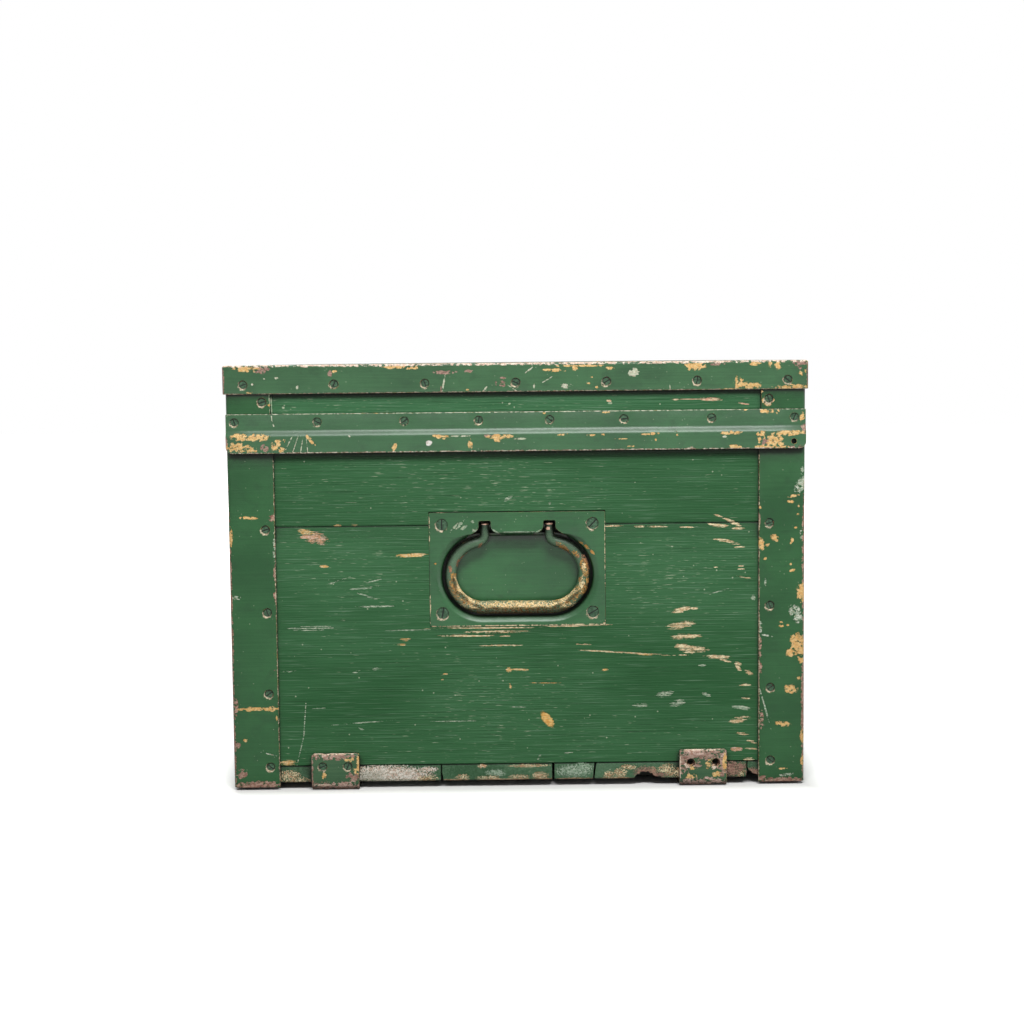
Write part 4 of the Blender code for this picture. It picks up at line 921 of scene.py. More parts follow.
right_half = bail_line()
left_half = [(-x, z, radius) for x, z, radius in right_half]
PIN_LINE = (
    (PIN_FROM, PIN_RADIUS - PIN_CHAMFER), (PIN_FROM + PIN_CHAMFER, PIN_RADIUS), (PIN_TO, PIN_RADIUS))
pins = [rod([(hand * out, 0.0, radius) for out, radius in PIN_LINE]) for hand in (-1, 1)]
bail_mesh = carved(rod(right_half + left_half[::-1]), pins, "UNION")
BAIL_WEAR_AND_PAINTED_LIGHT = (
    ("#c08a6a", "#8d5f48", 5.0, (
        (42, 219.6, 8, 2.4, -38), (61.5, 205, 3.4, 8, 12), (54, 213.6, 4, 2, -45),
        (-48.6, 212.7, 6, 1.4, 38), (-53, 209.1, 3, 1.2, 40), (-33.7, 222.6, 3, 1.2, 45),
        (-53.8, 205, 2, 2), (-61.2, 201.7, 1.6, 3, 10))),
    ("#d9a45a", "#8a5c34", 5.0, (
        (0, 165.5, 46, 7), (-44, 172.5, 13, 6, -38), (-55, 183.5, 6, 10, 25), (-58, 194, 3, 4),
        (41.8, 219.9, 6.5, 2.2, -40), (52.8, 214.6, 3, 2, -45), (60.8, 203.3, 3.5, 6, 15),
        (62.3, 196.6, 2.5, 3), (57.8, 190, 2, 3), (63.7, 189.2, 1.5, 3), (60, 182.5, 4, 5),
        (50.3, 176.7, 10, 5, 38), (41.4, 171.6, 11, 6, 20))),
    # A painted highlight along the upper side of the grip and its bends, where the light falls
    ("#f8e6b8", "#ecc684", 8.0, (
        (0, 168, 46, 3.2), (-44, 173.5, 11, 2.6, -35), (-54, 184.5, 2.6, 9, 20), (46, 175, 11, 2.6, 35),
        (58.5, 187, 2, 6, -10), (61, 202, 1.6, 5, 10))),
    # Dark specks of dirt along the lower side of the grip, with painted shade there
    ("#5b3a1c", "#33482f", 8.0, (
        (0, 163.2, 50, 2.4), (-50, 176, 8, 1.6, -42), (50, 175, 8, 1.6, 40), (20.7, 164.6, 8, 1.6),
        (-20, 165, 7, 1.4), (35, 166.4, 5, 1.4, 20), (-36, 167.4, 6, 1.4, -20), (-57, 188, 1.5, 5, 15))),
    # Painted shade along the underside of the grip
    ("#4a2f18", "#2a2a1a", 2.0, ((0, 159.6, 40, 1.6),)),
    # Leg tops: worn pale, with a painted highlight on their flat tops
    ("#f0cbb4", "#d9a58c", 1.5, ((-29.4, 242.9, 4.4, 1.5), (29.4, 243, 4.4, 1.8), (28.2, 237.8, 2, 1.6))),
)
for end in ("front", "rear"):
    steel = painted_iron(
        f"worn_paint_and_painted_light_on_{end}_bail", BAIL_WEAR_AND_PAINTED_LIGHT, BAIL_DEPTH - GRIP_RADIUS, reach=14, deep="#486a4c",
        faded="#6a856b", chipped=0.55, rubbed=0.2, turned=SIDE_TURN[end], flake=BAIL_FLAKE)
    name = f"{end}_handle_bail"
    piece(f"{name}_bent", on_end(bail_mesh, end), steel, f"{end}_bail", "bail_steel", name)


# Lid boards: rails round the edge of the lid and three boards laid over them, of the same painted pine.
# Only the rails' strip between the two bands shows from the end.

RAIL_WEAR = (
    ("#d9a488", CREAM, 2.6, (
        (174.9, 353.6, 12.5, 1.5, -2), (157.9, 353.8, 9, 0.6), (205.9, 349.2, 6, 0.9, -12),
        (144.3, 353.5, 3, 0.7), (84.1, 353, 2.4, 1))),
    (PALE_SCRATCH, "#8fb08d", 3.0, (
        (-220.2, 353, 0.7, 9, 2), (-209.9, 349.9, 1.6, 1.4), (-5.7, 351.6, 1.2, 1), (85, 351, 2, 1))),
)
rail_paint = painted_pine("green_oil_paint_on_front_lid_rail", AXIS_X, "#2e5e39", "#40724b", RAIL_WEAR)
coat(nodes["lid_front_rail"].data, rail_paint)
coat(nodes["lid_rear_rail"].data, end_paint)
for name in ("left_rail", "right_rail", "top_board_1", "top_board_2", "top_board_3"):
    coat(nodes[f"lid_{name}"].data, side_paint)


# Lid irons: short mild steel angles at the corners of the lid, bent as the corner irons of the case are.
# One screw holds each leg, and the two bands lie over their upper and lower ends.

LID_IRON_SCREWS = (((-228.6, 354.8),), ((228.1, 353.4),))
LID_IRON_WEAR_AND_PAINTED_LIGHT = (
    (PALE_SCRATCH, "#8fb08d", 5.0, ((-221.4, 353, 0.7, 10, 2),)),
    (OCHRE, "#e8c596", 3.4, ((227.4, 351.6, 4.8, 4.4), (221.3, 360, 1.6, 1), (-222, 352, 1.2, 1.2))),
) + seat_wear_and_painted_light(LID_IRON_SCREWS[0] + LID_IRON_SCREWS[1])
lid_iron_paint = painted_iron("green_oil_paint_on_lid_irons", LID_IRON_WEAR_AND_PAINTED_LIGHT)
corner_irons("lid_{end}_{side}_iron", LID_IRON_SCREWS, lid_iron_paint, "lid")


# Rim bands: a steel angle bent round the lid's upper edge, one length on each side, screwed to the rails.
# The arris takes every knock, so its upper edge is rubbed pale and chipped to the primer, and a painted
# highlight runs along it.

RIM_FACE, RIM_SIDE, RIM_TOP = -400.3, 263.3, 388.2
RIM_EASE, RIM_BEND = 0.6, 2.2
RIM_SCREW_HEIGHT = 370.5


def spread(last, count, middle=0.0):
    """Even places on both sides of the middle, out to the last."""
    return [middle - last + 2 * last * step / (count - 1) for step in range(count)]


RIM_END_SCREWS, RIM_SIDE_SCREWS = spread(245.0, 7), spread(365.0, 10)
RIM_OCHRE = (
    (-242.1, 385.2, 11, 2.8, -3), (161.5, 383.6, 8.5, 3.4), (214.9, 385.5, 5, 2),
    (229.4, 384.6, 2.5, 2.4, -40), (236.2, 383.5, 3, 4.6), (203.3, 366.2, 6, 4.4), (199, 369.5, 1.4, 4),
    (203, 369, 1.4, 3.6, 10), (213, 365.3, 7, 2.6), (248.4, 364, 16, 2.2, 2), (192.9, 362.6, 10, 0.8),
    (258, 376.9, 3.4, 2.6), (-107.8, 385.6, 10, 1.8), (-90.1, 384.4, 2.2, 1.6), (-239, 363.6, 3, 1.4),
    (-162.7, 382.2, 2, 1.2), (36, 381, 7, 1.6), (30, 381.6, 6, 1), (43.3, 380.8, 2, 1.1),
    (54, 382.6, 3, 2), (60, 384.9, 22, 0.9), (84.8, 382.4, 4, 1.4), (65.3, 369, 1.7, 1),
    (68.5, 374.3, 0.9, 0.9), (73.1, 365.6, 1.4, 0.9), (-95, 384, 3, 1.2), (-43.3, 364.4, 1.4, 0.7),
    (87, 361.9, 4, 0.6),
)
RIM_RUST = (
    (-228, 384.2, 7, 3.6), (-166.8, 379.8, 1.8, 3.4), (181.6, 385.8, 8, 1.8), (256.3, 386.2, 10, 2, -8),
    (254.7, 381.7, 5, 2.6, -30), (263, 375, 1, 14), (-262.8, 375, 1.2, 12), (-64, 380.2, 10, 1.5),
    (-41.5, 380.6, 4, 1.6), (-12, 369.4, 3, 2.4), (-11, 374.6, 2.4, 0.9), (42, 361.9, 14, 0.9),
    (-67, 364.5, 0.6, 3), (-17.5, 369.9, 1.2, 1.8),
)
RIM_PALE = (
    (-214.6, 376.7, 1.3, 1.3), (-195.9, 368, 1.3, 1.5), (-225.8, 376, 0.8, 0.8),
    (-236.5, 371.1, 0.8, 0.8), (-64.5, 371, 0.8, 7, -10), (-28, 364.4, 4, 0.7, 50),
    (28.3, 372.7, 5, 0.5, 30), (16.6, 367.5, 0.8, 2), (12, 381.6, 4, 0.8, 35), (-1, 364, 7, 0.5, -35),
    (105.6, 378.8, 5, 3.4), (45, 367, 5, 2.2), (138.8, 365, 0.6, 2.6),
)
RIM_WEAR_AND_PAINTED_LIGHT = (
    (PALE_SCRATCH, "#dcd9c4", 4.5, RIM_PALE),
    (RUST, "#b79a8a", 4.5, RIM_RUST),
    (OCHRE, "#f0cf92", 4.0, RIM_OCHRE),
    # A pale band along the whole top arris: paint rubbed thin, and a painted highlight on the rounded edge
    ("#f4e8d6", "#dcb9a2", 4.0, ((0, 388.4, 400, 2.2),)),
    ("#d8cdb4", "#8a6f5c", 6.0, ((0, 362.1, 400, 0.8),)),
    ("#4a3430", "#2e2422", 1.0, ((263.4, 375, 0.9, 14), (-263.4, 375, 0.7, 14))),
) + seat_wear_and_painted_light([(x, RIM_SCREW_HEIGHT) for x in RIM_END_SCREWS])
RIM_SCREWS = {
    "front": [(x, RIM_FACE, RIM_SCREW_HEIGHT, "front") for x in RIM_END_SCREWS],
    "rear": [(x, -RIM_FACE, RIM_SCREW_HEIGHT, "rear") for x in RIM_END_SCREWS],
    "left": [(-RIM_SIDE, y, RIM_SCREW_HEIGHT, "left") for y in RIM_SIDE_SCREWS],
    "right": [(RIM_SIDE, y, RIM_SCREW_HEIGHT, "right") for y in RIM_SIDE_SCREWS],
}
rim_paint = painted_iron(
    "green_oil_paint_on_rim_bands", RIM_WEAR_AND_PAINTED_LIGHT, RIM_FACE, deep="#2d5634", faded="#3c6942", chipped=0.62,
    gloss=0.45, roughness=0.38)


def on_arris(x, y, z):
    """Whether a place is on the outer bend along the top of a rim band."""
    outside = abs(x) > RIM_SIDE - ON_EDGE or abs(y) > -RIM_FACE - ON_EDGE
    return outside and z > RIM_TOP - ON_EDGE


for side, screws_here in RIM_SCREWS.items():
    name = f"lid_{side}_rim_band"
    mesh = seated(eased(name, RIM_EASE, None, RIM_BEND, on_arris), "lid", screws_here)
    piece(f"{name}_bent", mesh, rim_paint, "lid", "painted_iron", name)


# Lip bands: a steel band on the lid's lower edge, joggled so that its lower part laps over the case.
# Its lower corners are rounded, and the shoulder of the joggle catches the light along its length.

BAND = 1.7
LIP_FACE, LIP_SIDE = -403.3, 260.3
LIP_STEP = 3.0
JOGGLE_HIGH, JOGGLE_LOW, JOGGLE_STEPS = 330.4, 323.4, 8
LIP_CORNER, LIP_EASE, LIP_COLUMNS = 6.0, 0.5, 24
SHEET_EDGE = math.radians(60)   # what is sharper than this is an edge of the sheet and no bend
LIP_SCREW_HEIGHT = 336.8
LIP_END_SCREWS = (-253.5, -179, -100.7, -33.7, 30.3, 97.3, 176.4, 251)
LIP_SIDE_SCREWS = spread(335.0, 9)
LIP_HOLE = (250.2, 315.3, 2.5)  # place in X and Z, and radius


def lip_profile(low, high):
    """Heights down the band and how far its face stands behind the lower part, in mm."""
    rows = [(high, LIP_STEP)]
    for step in range(JOGGLE_STEPS + 1):
        part = step / JOGGLE_STEPS
        smooth = part * part * (3 - 2 * part)
        rows.append((JOGGLE_HIGH + (JOGGLE_LOW - JOGGLE_HIGH) * part, LIP_STEP * (1 - smooth)))
    for step in range(JOGGLE_STEPS + 1):
        turn = math.pi / 2 * step / JOGGLE_STEPS
        rows.append((low + LIP_CORNER * (1 - math.sin(turn)), 0.0))
    return rows


def lip_band(side):
    """A band made by rows of points across the front of the lid, turned to its side."""
    lowest, highest = (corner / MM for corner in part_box(f"lid_{side}_lip_band"))
    if side == "right":
        half, outer = highest.y, highest.x
    else:
        half, outer = highest.x, max(highest.y, -lowest.y)
    shape = bmesh.new()
    rows = []
    for z, behind in lip_profile(lowest.z, highest.z):
        above = min(z - lowest.z, LIP_CORNER)
        end = half - LIP_CORNER + math.sqrt(LIP_CORNER ** 2 - (LIP_CORNER - above) ** 2)
        rows.append([
            shape.verts.new(((-1 + 2 * step / LIP_COLUMNS) * end * MM, (behind - outer) * MM, z * MM))
            for step in range(LIP_COLUMNS + 1)])
    for upper, lower in zip(rows, rows[1:]):
        for i in range(LIP_COLUMNS):
            shape.faces.new((upper[i], lower[i], lower[i + 1], upper[i + 1]))
    bmesh.ops.recalc_face_normals(shape, faces=shape.faces)
    if sum(face.normal.y for face in shape.faces) > 0:
        bmesh.ops.reverse_faces(shape, faces=shape.faces)
    bmesh.ops.solidify(shape, geom=shape.faces, thickness=BAND * MM)
    edges = [e for e in shape.edges if e.is_manifold and e.calc_face_angle(0.0) > SHEET_EDGE]
    bmesh.ops.bevel(
        shape, geom=edges, offset=LIP_EASE * MM, offset_type="OFFSET", segments=EASE_STEPS, profile=ROUND,
        affect="EDGES")
    bmesh.ops.rotate(shape, verts=shape.verts, matrix=Matrix.Rotation(SIDE_TURN[side], 3, "Z"))
    return whole(shape, "lip")


LIP_OCHRE = (
    (228.3, 342.4, 9, 2), (234.7, 341.2, 1.6, 2.2, 20), (258.1, 336, 2, 5), (-126, 344.6, 4, 1),
    (207, 343.8, 2, 0.8), (-249, 324, 7, 3), (-232.5, 323.6, 11, 3.2), (-250.4, 314.5, 9.5, 4.2),
    (-240, 312.5, 7, 2.4), (-216.1, 316.6, 3.4, 5.6, -45), (-212, 312, 4, 2.6), (-209, 321.1, 1.3, 2, 20),
    (-187.7, 323.8, 1.2, 2, 20), (-184.2, 320.2, 1.7, 3.4, 25), (-181, 316, 0.9, 1.2),
    (-109.9, 313.5, 1.8, 5, -22), (193.7, 323.5, 9.5, 1.5), (222, 321, 5, 3.5), (232.7, 318.3, 7, 4.5),
    (232.8, 313, 7, 3), (244, 322.6, 14, 2.2, 3), (224.7, 310, 9, 2), (197.3, 310.6, 5, 2),
    (236.8, 309.8, 8, 1.6), (219.1, 317.2, 1.6, 4), (-68.9, 322.8, 8, 1.5, -4), (-66, 321.4, 4, 1.3),
    (-14, 322.2, 11, 1.9), (-16.4, 319.4, 3, 2), (42, 323.4, 4, 0.9, 8), (67, 322.7, 4, 0.9),
    (78.2, 323, 1.6, 0.9), (121, 323.2, 7, 1.1, 2), (125.6, 317.8, 0.8, 1), (145.1, 322.3, 1, 1.4, 10),
    (95, 319, 5, 0.5), (103.4, 312.2, 3, 0.7), (-41.4, 315.4, 1.8, 4.6), (81.3, 342.8, 4, 0.8),
    (25.5, 342.9, 1.2, 0.9),
)
LIP_RUST = (
    (226, 314.5, 4, 6), (259.8, 327.9, 2.6, 5), (254.5, 309.8, 6, 2), (-226.8, 313.4, 4, 3.4),
    (0, 308.6, 400, 0.8), (-260.5, 315, 1.6, 8), (-22, 322.9, 7, 1.1),
)
LIP_SCRATCHES_AND_HIGHLIGHT = (
    # The first place is a painted highlight along the band's top edge; the rest are pale scratches
    (0, 344.5, 400, 0.8), (-219.6, 341, 0.6, 3, 4), (-218.6, 336, 0.5, 4, 14),
    (-203.7, 319.3, 8, 0.5, 62), (-198.5, 317, 7, 0.4, 70), (-193, 315, 7, 0.4, 80),
    (-188, 315, 8, 0.4, 95), (-150, 324, 1, 1), (157.9, 310.8, 3, 0.9), (185.3, 309.4, 3, 0.7),
    (187.7, 319.9, 1.6, 0.9), (-50, 323, 8, 0.7), (3.6, 320, 5, 0.8),
)
LIP_WEAR_AND_PAINTED_LIGHT = (
    (PALE_SCRATCH, "#dcd9c4", 4.5, LIP_SCRATCHES_AND_HIGHLIGHT),
    (RUST, "#b79a8a", 4.5, LIP_RUST),
    (OCHRE, "#f0cf92", 4.0, LIP_OCHRE),
    ("#f2f0ea", "#e2ded4", 1.0, ((-78.5, 317, 3, 2.4, 10),)),
    ("#f0e4d0", "#8a6f5c", 6.0, ((0, 309.0, 400, 0.8),)),
) + seat_wear_and_painted_light([(x, LIP_SCREW_HEIGHT) for x in LIP_END_SCREWS])
LIP_SCREWS = {
    "front": [(x, RIM_FACE, LIP_SCREW_HEIGHT, "front") for x in LIP_END_SCREWS],
    "rear": [(-x, -RIM_FACE, LIP_SCREW_HEIGHT, "rear") for x in LIP_END_SCREWS],
    "right": [(LIP_SIDE, y, LIP_SCREW_HEIGHT, "right") for y in LIP_SIDE_SCREWS],
}
lip_paint = painted_iron(
    "green_oil_paint_on_lip_bands", LIP_WEAR_AND_PAINTED_LIGHT, LIP_FACE, deep="#285631", faded="#36663e", chipped=0.62,
    gloss=0.55, roughness=0.38)
for side, screws_here in LIP_SCREWS.items():
    name = f"lid_{side}_lip_band"
    mesh = seated(lip_band(side), "lid", screws_here)
    if side == "front":
        mesh = carved(mesh, [prism(round_hole(*LIP_HOLE), LIP_FACE - CUT_PAST, LIP_FACE + 2 * BAND)])
    piece(f"{name}_joggled", mesh, lip_paint, "lid", "painted_iron", name)


# Hinges: two pairs of steel leaves on the left side, their knuckles turned round a pin.
# Three screws hold each leaf, and all of it is painted over with the chest.

HINGE_EASE = 0.4
LEAF_FACE = 261.8
HINGE_PLACES = {"front": -230.0, "rear": 230.0}
LEAF_SCREW_OUT, LEAF_SCREWS = 28.0, 3
LEAF_SCREW_HEIGHT = {"case": 293.0, "lid": 345.5}
fitting_paint = painted_iron("green_oil_paint_on_fittings", chipped=0.66)


def fitting(name, body, screws_here):
    """A fitting with its edges eased and its screws seated, if it has any."""
    mesh = eased(name, HINGE_EASE)
    if screws_here:
        mesh = seated(mesh, body, screws_here)
    piece(f"{name}_eased", mesh, fitting_paint, body, "painted_iron", name)


for end, middle in HINGE_PLACES.items():
    for body, height in LEAF_SCREW_HEIGHT.items():
        along = spread(LEAF_SCREW_OUT, LEAF_SCREWS, middle)
        fitting(f"{end}_hinge_{body}_leaf", body, [(-LEAF_FACE, y, height, "left") for y in along])
    fitting(f"{end}_hinge_pin", nodes[f"{end}_hinge_pin"]["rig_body"], [])


# Hasp: a leaf on the case, a strap that hangs from its pin, and a staple on the lid that takes the strap.
# All are of steel, screwed through the leaf and the staple's plate.

STAPLE_FACE, STAPLE_SCREW_OUT, STAPLE_SCREW_HEIGHT = 261.3, 18.5, 353.2
HASP_SCREW_OUT, HASP_SCREW_HEIGHTS = 14.0, (262.5, 277.5)
HASP_SCREWS = {
    "hasp_leaf": [(LEAF_FACE, y, z, "right") for y in spread(HASP_SCREW_OUT, 2) for z in HASP_SCREW_HEIGHTS],
    "hasp_pin": [],
    "hasp_strap": [],
    "hasp_staple": [(STAPLE_FACE, y, STAPLE_SCREW_HEIGHT, "right") for y in spread(STAPLE_SCREW_OUT, 2)],
}
for name, screws_here in HASP_SCREWS.items():
    fitting(name, nodes[name]["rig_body"], screws_here)


# Screws: slotted countersunk steel screws, painted over where they hold bands, irons, runners and leaves.
# Each head lies a little below the face in its countersink, with dirt and painted shade in the slot.

SLOT_TURNS = (20, 65, 110, 155, 35, 80, 140, 5)
HEAD_SIDES = 28
SLOT_REACH = 3.0                # length of the slot's cutter in head radii
BOTH_WAYS, BACK, HALF_DOWN = 2.0, -1.0, -0.5
SCREW_GRIT, SCREW_RELIEF = (2, 1.4), 0.1
SCREW_SHADE = {"From Min": 0.38, "From Max": 0.62}
SCREW_ROUGHNESS, SCREW_GLOSS = 0.5, 0.3


def painted_screws(name):
    """Painted steel, thin on the head, with dirt and painted shade in the slot, which the attribute marks."""
    material, tree, place = bare_material(name)
    slot = node(tree, "ShaderNodeAttribute", attribute_name="slot").node.outputs["Fac"]
    grit = mottle(tree, place, AXIS_X, *SCREW_GRIT)
    # Near black in the slot: dirt and painted shade
    paint = marked(tree, linear("#26402c"), (grit, SCREW_SHADE, "#4c6c52"), (slot, {}, "#0e130f"))
    finish(tree, paint, SCREW_ROUGHNESS, SCREW_GLOSS, (grit, SCREW_RELIEF))
    return material


def screw_tree():
    """The tree that puts a slotted countersunk head at every point, turned to face outwards."""
    tree = bpy.data.node_groups.new("slotted_screws", "GeometryNodeTree")
    tree.interface.new_socket("Geometry", in_out="INPUT", socket_type="NodeSocketGeometry")
    for name in SMALL_SCREW:
        tree.interface.new_socket(name, in_out="INPUT", socket_type="NodeSocketFloat")
    tree.interface.new_socket("Finish", in_out="INPUT", socket_type="NodeSocketMaterial")
    tree.interface.new_socket("Geometry", in_out="OUTPUT", socket_type="NodeSocketGeometry")
    given = node(tree, "NodeGroupInput").node.outputs
    foot = node(tree, "ShaderNodeMath", {
        0: given["Head Radius"], 1: given["Head Height"]}, operation="SUBTRACT")
    head = node(tree, "GeometryNodeMeshCone", {
        "Vertices": HEAD_SIDES, "Radius Top": given["Head Radius"], "Radius Bottom": foot,
        "Depth": given["Head Height"]})
    below = node(tree, "ShaderNodeMath", {
        0: given["Head Height"], 1: given["Sunk Depth"]}, operation="ADD")
    below = node(tree, "ShaderNodeMath", {0: below, 1: BACK}, operation="MULTIPLY")
    down = node(tree, "ShaderNodeCombineXYZ", {"Z": below})
    head = node(tree, "GeometryNodeTransform", {"Geometry": head, "Translation": down})
    wide = node(tree, "ShaderNodeMath", {0: given["Head Radius"], 1: SLOT_REACH}, operation="MULTIPLY")
    deep = node(tree, "ShaderNodeMath", {0: given["Slot Depth"], 1: BOTH_WAYS}, operation="MULTIPLY")
    size = node(tree, "ShaderNodeCombineXYZ", {"X": wide, "Y": given["Slot Width"], "Z": deep})
    slot = node(tree, "GeometryNodeMeshCube", {"Size": size})
    top = node(tree, "ShaderNodeMath", {0: given["Sunk Depth"], 1: BACK}, operation="MULTIPLY")
    flat = node(tree, "ShaderNodeCombineXYZ", {"Z": top})
    slot = node(tree, "GeometryNodeTransform", {"Geometry": slot, "Translation": flat})
    cut = node(tree, "GeometryNodeMeshBoolean", {
        "Mesh 1": head}, operation="DIFFERENCE", solver="EXACT").node
    tree.links.new(slot, cut.inputs["Mesh 2"])
    height = node(tree, "ShaderNodeSeparateXYZ", {"Vector": node(tree, "GeometryNodeInputPosition")}).node
    inside = node(tree, "ShaderNodeMath", {
        0: given["Slot Depth"], 1: HALF_DOWN, 2: top}, operation="MULTIPLY_ADD")
    low = node(tree, "FunctionNodeCompare", {
        "A": height.outputs["Z"], "B": inside}, data_type="FLOAT", operation="LESS_THAN")
    dark_slot_marked = node(tree, "GeometryNodeStoreNamedAttribute", {
        "Geometry": cut.outputs["Mesh"], "Name": "slot", "Value": low}, data_type="FLOAT", domain="POINT")
    facing = node(tree, "GeometryNodeInputNamedAttribute", {"Name": "facing"}, data_type="FLOAT_VECTOR")
    turn = node(tree, "FunctionNodeEulerToRotation", {"Euler": facing})
    heads = node(tree, "GeometryNodeInstanceOnPoints", {
        "Points": given["Geometry"], "Instance": dark_slot_marked, "Rotation": turn})
    real = node(tree, "GeometryNodeRealizeInstances", {"Geometry": heads})
    dressed = node(tree, "GeometryNodeSetMaterial", {"Geometry": real, "Material": given["Finish"]})
    node(tree, "NodeGroupOutput", {"Geometry": dressed})
    return tree


def screws(name, places, sizes, body, *stands_for):
    """One piece of all the screws of a body: each place is x, y, z in mm, side and slot turn."""
    points = bpy.data.meshes.new(name)
    points.from_pydata([(x * MM, y * MM, z * MM) for x, y, z, side, slot in places], [], [])
    facing = points.attributes.new("facing", "FLOAT_VECTOR", "POINT")
    for index, (x, y, z, side, slot) in enumerate(places):
        facing.data[index].vector = (math.pi / 2, -math.radians(slot), SIDE_TURN[side])
    holder = placed("screw_places", points)
    step = holder.modifiers.new("screws", "NODES")
    step.node_group = slotted_screws
    for socket in slotted_screws.interface.items_tree:
        if socket.in_out == "INPUT" and socket.name in sizes:
            step[socket.identifier] = sizes[socket.name] * MM
        if socket.in_out == "INPUT" and socket.name == "Finish":
            step[socket.identifier] = screw_paint
    graph = bpy.context.evaluated_depsgraph_get()
    mesh = bpy.data.meshes.new_from_object(holder.evaluated_get(graph))
    bpy.data.objects.remove(holder)
    mesh.name = name
    mesh.set_sharp_from_angle(angle=SHARP)
    piece(name, mesh, screw_paint, body, "fixings", *stands_for)


slotted_screws = screw_tree()
screw_paint = painted_screws("dirty_and_shaded_screw_heads")
for body, places in screw_places.items():
    turned = [place + (SLOT_TURNS[i % len(SLOT_TURNS)],) for i, place in enumerate(places)]
    screws(f"{body}_screws", turned, SMALL_SCREW, body)
for end, sign in (("front", 1), ("rear", -1)):
    places = [(sign * x, sign * END_FACE, z, end, slot) for x, z, slot in PLATE_SCREWS]
    stood_for = [f"{end}_handle_screw_{number}" for number in range(1, len(PLATE_SCREWS) + 1)]
    screws(f"{end}_handle_screws", places, PLATE_SCREW, "case", *stood_for)


# Floor, light and camera: a white floor that keeps the chest's shadow, with painted shade round its
# footprint, soft light from above and in front, and the camera where the photograph was taken from.

WHITE, FLOOR_SEEN, FLOOR_LIT = "#ffffff", "#f4f4f2", "#7b7b79"
FLOOR_HALF = 8.0                # metres
FLOOR_CORNERS = [(x * FLOOR_HALF, y * FLOOR_HALF) for x, y in ((-1, -1), (1, -1), (1, 1), (-1, 1))]
FLOOR_DROP = 0.2
FLOOR_NEAR, FLOOR_FAR = 0.45, 1.3  # metres from the chest between which the floor whitens out
FLOOR_LIFT = 0.58
FOOTPRINT = (0.263, 0.403, 0.0)
# Painted shade: the width, in metres, of the band round the chest's footprint over which the floor's glow
# fades back in
PAINTED_FOOT_SHADE = 0.03
AMBIENT = 0.25
FOCAL_LENGTH, SENSOR = 61.875, 36.0
CAMERA_PLACE = (-0.01636, -1.98582, 0.39)
CAMERA_PITCH, CAMERA_YAW, CAMERA_ROLL = 4.914, 0.431, -0.587
# Lamps: name, place, aimed at, size across and up in metres, watts
LAMPS = (
    ("key_panel", (0.15, -1.9, 1.95), (0.0, -0.4, 0.3), (1.3, 0.5), 50.0),
    ("side_panel", (2.2, -1.3, 0.6), (0.0, -0.4, 0.2), (0.6, 1.0), 6.0),
    ("back_panel", (-1.2, 3.0, 2.2), (0.0, 0.3, 0.2), (1.5, 1.5), 90.0),
)


def in_view(tree):
    """1 where the camera sees a thing, also in a reflection or through glass, and 0 where it only lights."""
    path = node(tree, "ShaderNodeLightPath").node.outputs
    shown = node(tree, "ShaderNodeMath", {
        0: path["Is Camera Ray"], 1: path["Is Glossy Ray"]}, operation="MAXIMUM")
    return node(tree, "ShaderNodeMath", {0: shown, 1: path["Is Transmission Ray"]}, operation="MAXIMUM")


floor_material, tree, ground = bare_material("white_studio_floor")
seen = in_view(tree)
away = node(tree, "ShaderNodeVectorMath", {0: ground}, operation="LENGTH").node.outputs["Value"]
whiter = node(tree, "ShaderNodeMapRange", {
    "Value": away, "From Min": FLOOR_NEAR, "From Max": FLOOR_FAR, "To Min": FLOOR_LIFT, "To Max": 1.0})
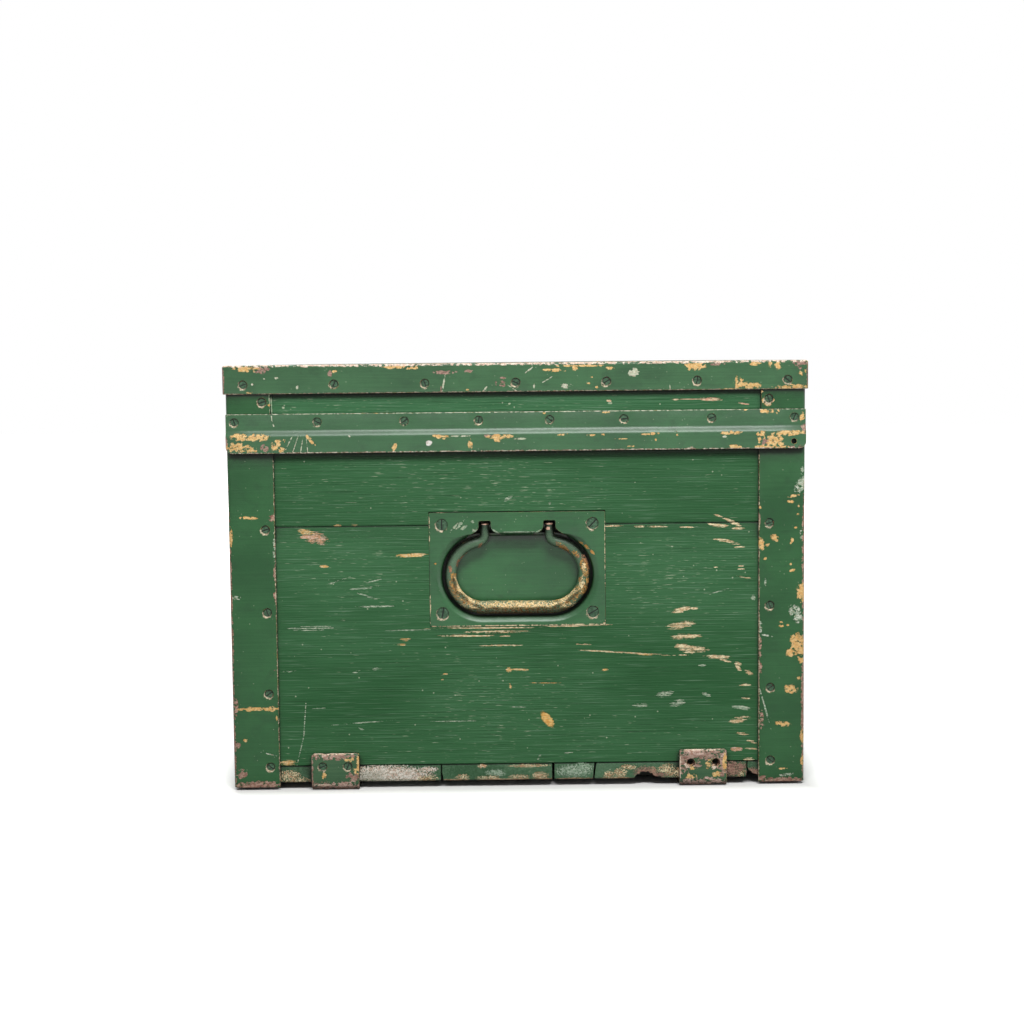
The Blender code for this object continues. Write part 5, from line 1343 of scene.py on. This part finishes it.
# Painted shade round the chest: the floor's glow is taken away under it and fades back in over a narrow band
beside = node(tree, "ShaderNodeVectorMath", {0: ground}, operation="ABSOLUTE")
beside = node(tree, "ShaderNodeVectorMath", {0: beside, 1: FOOTPRINT}, operation="SUBTRACT")
beside = node(tree, "ShaderNodeSeparateXYZ", {"Vector": beside}).node.outputs
outside = node(tree, "ShaderNodeMath", {0: beside["X"], 1: beside["Y"]}, operation="MAXIMUM")
clear = node(tree, "ShaderNodeMapRange", {"Value": outside, "From Min": 0.0, "From Max": PAINTED_FOOT_SHADE})
fade = node(tree, "ShaderNodeMath", {0: clear, 1: whiter}, operation="MULTIPLY")
lift = node(tree, "ShaderNodeMath", {0: seen, 1: fade}, operation="MULTIPLY")
shown = node(tree, "ShaderNodeMix", {
    "Factor": seen, "A": linear(FLOOR_LIT), "B": linear(FLOOR_SEEN)}, data_type="RGBA")
matte = node(tree, "ShaderNodeBsdfDiffuse", {"Color": shown})
glow = node(tree, "ShaderNodeEmission", {"Color": linear(WHITE), "Strength": lift})
both = node(tree, "ShaderNodeAddShader", {0: matte, 1: glow})
node(tree, "ShaderNodeOutputMaterial", {"Surface": both})
floor_mesh = bpy.data.meshes.new("floor")
floor_mesh.from_pydata([(x, y, -FLOOR_DROP * MM) for x, y in FLOOR_CORNERS], [], [(0, 1, 2, 3)])
coat(floor_mesh, floor_material)
placed("floor", floor_mesh)

world = bpy.data.worlds.new("white_room")
world.use_nodes = True
tree = world.node_tree
tree.nodes.clear()
level = node(tree, "ShaderNodeMapRange", {"Value": in_view(tree), "To Min": AMBIENT, "To Max": 1.0})
sky = node(tree, "ShaderNodeBackground", {"Color": linear(WHITE), "Strength": level})
node(tree, "ShaderNodeOutputWorld", {"Surface": sky})
bpy.context.scene.world = world

for name, place, target, (across, up), watts in LAMPS:
    lamp = bpy.data.lights.new(name, "AREA")
    lamp.shape = "RECTANGLE"
    lamp.size = across
    lamp.size_y = up
    lamp.energy = watts
    aim = (Vector(target) - Vector(place)).to_track_quat("-Z", "Y").to_matrix().to_4x4()
    placed(name, lamp).matrix_world = Matrix.Translation(place) @ aim

lens = bpy.data.cameras.new("camera")
lens.lens = FOCAL_LENGTH
lens.sensor_width = SENSOR
camera = placed("camera", lens)
yaw, pitch, roll = (
    Matrix.Rotation(math.radians(turn), 4, axis)
    for turn, axis in ((-CAMERA_YAW, "Z"), (90 - CAMERA_PITCH, "X"), (CAMERA_ROLL, "Z")))
camera.matrix_world = Matrix.Translation(CAMERA_PLACE) @ yaw @ pitch @ roll
bpy.context.scene.camera = camera
bpy.context.scene.view_settings.view_transform = "Standard"
